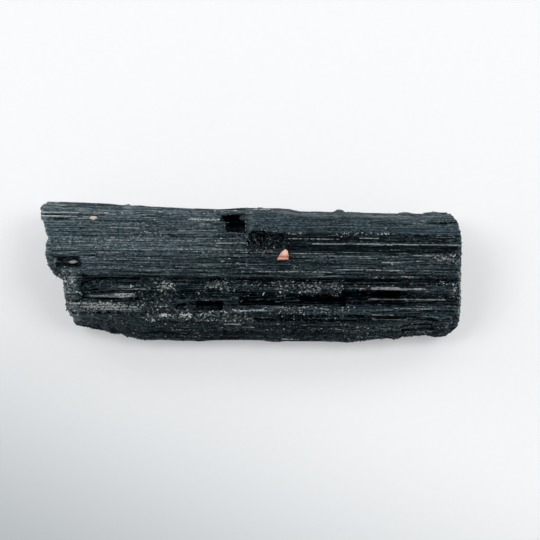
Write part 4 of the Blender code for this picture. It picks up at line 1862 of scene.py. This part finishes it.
@dataclass
class Flakes:
    """The scales that the skin breaks into: low four-sided points, longer along the crystal than across."""

    ground: Ground
    material: bpy.types.Material
    seed: int = 91
    count: int = 52000
    lengths: Point = (0.30, 1.50)
    widths: Point = (0.22, 0.50)
    heights: Point = (0.02, 0.10)
    sink: float = 0.10
    lowest: float = 0.5
    pale_share: float = 0.05
    painted_glint_share: float = 0.16

    def build(self) -> Piece:
        """Scatters the flakes over the crystal.

        Returns:
            The finished piece.
        """
        rng = np.random.default_rng(self.seed)
        seats = self.seats(rng)
        model = self.point()
        copies = Copies()
        points = self.shapes(rng, seats, model)
        copies.add(model, points, self.finishes(rng, seats, model))
        piece = copies.join("flakes", self.material)
        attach(piece, "root")
        return piece

    def seats(self, rng: Dice) -> Seats:
        """Finds where the flakes lie: more where the skin is ribbed or granular, few underneath.

        Args:
            rng: the source of their places.

        Returns:
            Their seats.
        """
        around = rng.uniform(0.0, self.ground.section.perimeter, self.count)
        x = rng.uniform(-0.5, 0.5, self.count) * LENGTH
        places, outward, normals = self.ground.skin(around, x)
        upper = facing_up(outward[:, 2])
        ribs, dust_and_painted_light = region_shares(places[:, 0], places[:, 1], upper)
        grain, pale, rust = (share * upper for share in zone_shares(places[:, 0], places[:, 1]))
        chance = (0.15 + 0.25 * np.minimum(ribs, 2.0) + 0.5 * grain) * kept_share(outward[:, 2])
        found = np.isfinite(places[:, 0]) & (places[:, 2] > self.lowest)
        kept = found & (rng.uniform(size=self.count) < chance)
        return Seats(*(share[kept] for share in (places, normals, grain, ribs, dust_and_painted_light, pale, rust)))

    def shapes(self, rng: Dice, seats: Seats, model: Model) -> Array:
        """Lays the flakes along the crystal, or askew where it is granular, each with its tip off its middle.

        Args:
            rng: the source of their turns and sizes.
            seats: where they lie.
            model: the shape of one.

        Returns:
            Their points, as (flake, point, axis).
        """
        size = len(seats.places)
        normals = seats.normals
        grain = seats.grain
        yaw = rng.normal(0.0, 0.06, size) + np.minimum(grain, 1.0) * rng.uniform(-1.2, 1.2, size)
        along_x = np.array([1.0, 0.0, 0.0]) - normals * normals[:, :1]
        along_x /= np.linalg.norm(along_x, axis=1, keepdims=True)
        across = np.cross(normals, along_x)
        course = np.cos(yaw)[:, None] * along_x + np.sin(yaw)[:, None] * across
        side = np.cross(normals, course)
        length = np.exp(rng.uniform(*np.log(self.lengths), size)) * (1.0 - 0.3 * np.minimum(grain, 1.0))
        width = rng.uniform(*self.widths, size)
        height = rng.uniform(*self.heights, size) * (0.4 + 0.4 * seats.ribs + 0.5 * grain)
        tip = model.points[:, 2] > 0.0
        lean = tip * rng.uniform(-0.7, 0.7, (size, 1))
        tilt = tip * rng.uniform(-0.7, 0.7, (size, 1))
        run = 0.5 * length[:, None] * (model.points[:, 0] + lean)
        reach = 0.5 * width[:, None] * (model.points[:, 1] + tilt)
        up = np.where(tip, height[:, None], -self.sink)
        points = seats.places[:, None, :] + run[:, :, None] * course[:, None, :]
        return points + reach[:, :, None] * side[:, None, :] + up[:, :, None] * normals[:, None, :]

    def finishes(self, rng: Dice, seats: Seats, model: Model) -> Array:
        """How pale, rusty and broken the flakes are, and their dust and painted light: as the skin's, with a
        glint painted on some, highlight painted on their tips and shade at their feet.

        Args:
            rng: the source of the pale and the bright ones.
            seats: where they lie.
            model: the shape of one.

        Returns:
            The four shares, as (flake, point, share).
        """
        size = len(seats.places)
        chance = self.pale_share + seats.pale
        pale = np.where(rng.uniform(size=size) < chance, rng.uniform(0.3, 1.0, size), 0.0)
        # A few flakes take a painted glint: more of the dust tone, only where the region holds dust.
        bright = (rng.uniform(size=size) < self.painted_glint_share) * rng.uniform(0.3, 1.0, size)
        dust_and_painted_light = seats.dust_and_painted_light * rng.uniform(0.0, 2.0, size) + bright * dusted(seats.dust_and_painted_light)
        finish = np.stack([pale, seats.rust, 0.3 + 0.4 * np.minimum(seats.grain, 1.0), dust_and_painted_light], axis=1)
        finishes = np.repeat(finish[:, None], len(model.points), axis=1)
        # Painted light: tips take more of the dust tone, as painted highlight, and feet less, as painted
        # shade.
        finishes[:, :, 3] *= np.where(model.points[:, 2] > 0.0, 1.6, 0.4)
        return finishes

    @staticmethod
    def point() -> Model:
        """Models a four-sided point, 2 wide and 1 high.

        Returns:
            The point.
        """
        deselect()
        bpy.ops.mesh.primitive_cone_add(
            vertices=4, radius1=math.sqrt(2.0), radius2=0.0, depth=1.0, rotation=(0.0, 0.0, 0.25 * math.pi)
        )
        return Model.of(bpy.context.object)


@dataclass
class Grit:
    """Angular black grains that stand out of the granular breaks and the broken ends."""

    ground: Ground
    material: bpy.types.Material
    seed: int = 81
    kinds: int = 5
    density: float = 4.6
    most_grain: float = 1.4
    front: float = -17.0
    sizes: Point = (0.26, 0.72)
    end_count: int = 420
    end_reach: float = 0.40

    def build(self) -> Piece:
        """Scatters the grains.

        Returns:
            The finished piece.
        """
        rng = np.random.default_rng(self.seed)
        models = [chip(self.seed + kind) for kind in range(self.kinds)]
        copies = Copies()
        for zone in ZONES:
            area = (zone.right - zone.left) * (zone.back - max(zone.front, self.front))
            for _ in range(int(self.density * area * min(zone.grain, self.most_grain))):
                x = rng.uniform(zone.left - 0.4, zone.right + 0.4)
                y = rng.uniform(zone.front - 0.3, zone.back + 0.3)
                size = rng.uniform(*self.sizes) * min(0.5 + 0.5 * zone.grain, 1.1)
                pale = zone.pale * rng.uniform(0.0, 2.4) ** 2 if rng.uniform() < 0.5 else 0.0
                place = self.ground.above(x, y)
                if place is not None:
                    dust_and_painted_light = rng.uniform(0.0, min(0.2 + 2.0 * zone.pale, 1.0))
                    finish = np.array([pale, zone.rust * rng.uniform(), 0.4, dust_and_painted_light])
                    scatter(copies, rng, models, place, size, finish)
        for side in (-1.0, 1.0):
            for _ in range(self.end_count):
                y, z = rng.uniform(-16.0, 16.0), rng.uniform(0.05, 0.98) * HEIGHT
                size = rng.uniform(*self.sizes)
                place = self.ground.hit((side * LENGTH, y, z), (-side, 0.0, 0.0), LENGTH)
                pale = 0.5 * rng.uniform() ** 2
                if place is not None and abs(place[0]) > self.end_reach * LENGTH:
                    scatter(copies, rng, models, place, size, np.array([pale, 0.0, 0.6, rng.uniform()]))
        piece = copies.join("broken_grains", self.material)
        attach(piece, "root")
        return piece


def chip(seed: int) -> Model:
    """Models one angular grain: a small block with flats cut off it.

    Args:
        seed: which grain.

    Returns:
        The grain, about 2 across.
    """
    rng = np.random.default_rng(seed)
    deselect()
    bpy.ops.mesh.primitive_cube_add(size=1.6)
    block = bpy.context.object
    bpy.ops.object.mode_set(mode="EDIT")
    for _ in range(4):
        normal = Vector(rng.normal(size=3)).normalized()
        bisect(normal * rng.uniform(0.45, 0.8), normal)
    bpy.ops.object.mode_set(mode="OBJECT")
    return Model.of(block)


def scatter(
    copies: Copies, rng: Dice, models: list[Model], place: Array, size: float, finish: Array
) -> None:
    """Adds a grain, turned at random and half sunk.

    Args:
        copies: where it is added.
        rng: the source of its turn and its shape.
        models: the shapes to choose from.
        place: where it lies.
        size: how long it is.
        finish: how pale, rusty and broken it is, and how much dust and painted light it takes.
    """
    turn = np.array(Euler(rng.uniform(0.0, math.tau, 3)).to_matrix())
    stretch = np.array([1.0, rng.uniform(0.5, 0.9), rng.uniform(0.35, 0.7)]) * 0.5 * size
    model = models[int(rng.integers(len(models)))]
    copies.add(model, (place + (model.points * stretch) @ turn.T)[None], finish[None])


@dataclass
class PaleCrumbs:
    """Crumbs of quartz and feldspar that lie in the grooves, and two small rods of it."""

    ground: Ground
    finish: CrumbFinish = field(default_factory=CrumbFinish)
    seed: int = 61
    kinds: int = 3
    lift: float = 0.10
    rods: tuple[tuple[float, float, float, float, float], ...] = (
        (2.75, -5.05, 1.15, 0.26, 57.0),
        (-12.6, -5.15, 0.85, 0.20, 65.0),
    )

    def build(self) -> Piece:
        """Scatters the crumbs on the crystal.

        Returns:
            The finished piece.
        """
        rng = np.random.default_rng(self.seed)
        models = [chip(self.seed + kind) for kind in range(self.kinds)]
        copies = Copies()
        plain = np.zeros(4)
        for middle_x, middle_y, spread_x, spread_y, count, largest in CRUMBS:
            for _ in range(count):
                x = rng.normal(middle_x, 0.5 * spread_x)
                y = rng.normal(middle_y, 0.5 * spread_y)
                size = largest * rng.uniform(0.35, 1.0)
                place = self.ground.above(x, y)
                if place is not None:
                    scatter(copies, rng, models, place + (0.0, 0.0, self.lift), size, plain)
        for x, y, length, thickness, degrees in self.rods:
            place = self.ground.above(x, y)
            turn = np.array(Matrix.Rotation(math.radians(degrees), 3, "Z"))
            stretch = 0.5 * np.array([length, thickness, thickness])
            points = place + (0.0, 0.0, self.lift) + (models[0].points * stretch) @ turn.T
            copies.add(models[0], points[None], plain[None])
        piece = copies.join("pale_crumbs", self.finish.material())
        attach(piece, "root")
        return piece


@dataclass
class Studio:
    """The table, the light and the camera of the photograph."""

    floor_finish: FloorFinish = field(default_factory=FloorFinish)
    floor_side: float = 3000.0
    lens: float = 100.0
    sensor: float = 36.0
    distance: float = 353.5
    tilt: float = 2.0
    aim: tuple[float, float, float] = (4.25, 0.5, 20.0)
    room: tuple[Point, ...] = (
        (-1.0, 0.50), (-0.80, 0.06), (-0.34, 0.05), (0.0, 0.08), (0.15, 0.12), (0.36, 0.24),
        (0.52, 0.30), (0.58, 2.20), (0.70, 2.20), (0.80, 0.50), (1.0, 0.45),
    )
    sides: tuple[Point, ...] = ((-1.0, 0.9), (-0.7, 0.6), (-0.45, 0.0), (0.45, 0.0), (0.7, 0.6), (1.0, 0.9))
    window_places: tuple[tuple[float, float, float], ...] = ((-230.0, 100.0, 480.0), (230.0, 100.0, 480.0))
    window_side: float = 200.0
    window_glow: float = 6.0
    daylight: Colour = (0.96, 0.985, 1.0)

    def build(self) -> None:
        """Lays the table, and sets the room, the windows and the camera."""
        self.table()
        self.surroundings()
        self.windows()
        self.camera()

    def table(self) -> None:
        """Lays the table."""
        deselect()
        bpy.ops.mesh.primitive_grid_add(x_subdivisions=24, y_subdivisions=24, size=self.floor_side * MM)
        floor = bpy.context.object
        floor.name = "table"
        floor.data.materials.append(self.floor_finish.material())

    def surroundings(self) -> None:
        """Sets a plain room: dim overhead, with a bright band behind the crystal."""
        world = bpy.data.worlds.new("room")
        world.use_nodes = True
        bpy.context.scene.world = world
        nodes = NodeSheet(world.node_tree)
        split = nodes.add("ShaderNodeSeparateXYZ")
        nodes.link(nodes.add("ShaderNodeTexCoord").outputs["Generated"], split.inputs[0])
        lines = (("Y", self.room), ("X", self.sides))
        glows = [self.glow(nodes, split.outputs[axis], line) for axis, line in lines]
        background = nodes.tree.nodes["Background"]
        nodes.feed(nodes.calculate("ADD", *glows), background.inputs["Strength"])
        nodes.feed(self.daylight, background.inputs["Color"])

    @staticmethod
    def glow(nodes: NodeSheet, side: Socket, line: tuple[Point, ...]) -> Socket:
        """How bright the room is from one side to the other.

        Args:
            nodes: the room's nodes.
            side: where each place lies, from -1 to 1.
            line: points as (place, glow), in order.

        Returns:
            The glow at each place.
        """
        brightest = max(glow for _, glow in line)
        curve = nodes.add("ShaderNodeFloatCurve")
        points = curve.mapping.curves[0].points
        while len(points) < len(line):
            points.new(0.5, 0.5)
        for point, (place, glow) in zip(points, line):
            point.location = (0.5 * (place + 1.0), glow / brightest)
            point.handle_type = "VECTOR"
        curve.mapping.update()
        nodes.link(nodes.remap(side, (-1.0, 1.0)), curve.inputs["Value"])
        return nodes.calculate("MULTIPLY", curve.outputs["Value"], brightest)

    def windows(self) -> None:
        """Hangs a soft window of light high on each side."""
        for place in self.window_places:
            light = bpy.data.lights.new("window", "AREA")
            light.shape = "SQUARE"
            light.size = self.window_side * MM
            light.energy = self.window_glow * math.pi * light.size**2
            window = bpy.data.objects.new("window", light)
            window.location = Vector(place) * MM
            window.rotation_euler = (-window.location).to_track_quat("-Z", "Y").to_euler()
            bpy.context.scene.collection.objects.link(window)

    def camera(self) -> None:
        """Hangs the camera over the crystal, leaning back a little from straight down."""
        lens = bpy.data.cameras.new("camera")
        lens.lens = self.lens
        lens.sensor_width = self.sensor
        camera = bpy.data.objects.new("camera", lens)
        lean = math.radians(self.tilt)
        aim = Vector(to_metres(self.aim))
        camera.location = aim + self.distance * MM * Vector((0.0, -math.sin(lean), math.cos(lean)))
        camera.rotation_euler = (lean, 0.0, 0.0)
        bpy.context.scene.collection.objects.link(camera)
        bpy.context.scene.camera = camera


def salmon() -> FeldsparFinish:
    """The finish of the chip on top."""
    return FeldsparFinish(
        Shade.SALMON, flesh=(0.74, 0.35, 0.26), bright=(0.84, 0.53, 0.44),
        stain=(0.50, 0.12, 0.08), stain_y=3.50, stain_width=0.42,
    )


def pale(share: float) -> FeldsparFinish:
    """The finish of the two small grains, as pale as this share says."""
    tones = ((0.50, 0.42, 0.37), (0.62, 0.57, 0.51))
    return FeldsparFinish(Shade.PALE, *(tuple(share * part for part in tone) for tone in tones))


def grains() -> tuple[FeldsparGrain, ...]:
    """The three grains of feldspar, each cut to its outline about the middle of its node."""
    return (
        FeldsparGrain(
            "chip_dressed", "feldspar_chip", salmon(),
            ((-1.6, -1.2), (1.1, -1.35), (1.2, -0.5), (1.0, 0.75), (0.15, 1.35), (-0.55, 0.3)),
            ((-0.9, -0.3, 0.7, 1.3), (0.4, 0.9, 0.5, 1.4), (0.9, -0.6, 0.35, 2.0)),
        ),
        FeldsparGrain(
            "sliver_dressed", "feldspar_sliver", pale(0.45),
            ((-1.35, -0.08), (-0.9, -0.26), (0.5, -0.28), (1.35, 0.0), (0.7, 0.26), (-0.8, 0.24)),
            ((-1.0, 0.0, 0.3, 1.8), (0.9, 0.1, 0.3, 2.0)),
            sink=0.3, roughness=0.04,
        ),
        FeldsparGrain(
            "speck_dressed", "feldspar_speck", pale(1.0),
            ((-1.0, -0.05), (-0.5, -0.38), (0.3, -0.44), (1.0, 0.0), (0.7, 0.36), (-0.4, 0.40)),
            ((-0.6, 0.2, 0.3, 1.6), (0.6, -0.3, 0.3, 1.8)),
            sink=0.3, roughness=0.05,
        ),
    )


def main() -> None:
    """Builds the studio, the crystal, its grains and its crumbs, in that order."""
    logging.basicConfig(level=logging.INFO, format="%(message)s")
    Studio().build()
    form = TourmalineCrystal()
    crystal = form.build()
    LOG.info("%s: %d faces", crystal.name, len(crystal.data.polygons))
    for grain in grains():
        piece = grain.build()
        LOG.info("%s: %d faces", piece.name, len(piece.data.polygons))
    ground = Ground(form, crystal)
    black = crystal.data.materials[0]
    for layer in (FineRibs(ground, black), Flakes(ground, black), Grit(ground, black), PaleCrumbs(ground)):
        piece = layer.build()
        piece.data.calc_loop_triangles()
        LOG.info("%s: %d triangles", piece.name, len(piece.data.loop_triangles))
    bpy.context.scene.view_settings.view_transform = "Standard"


if __name__ == "__main__":
    main()
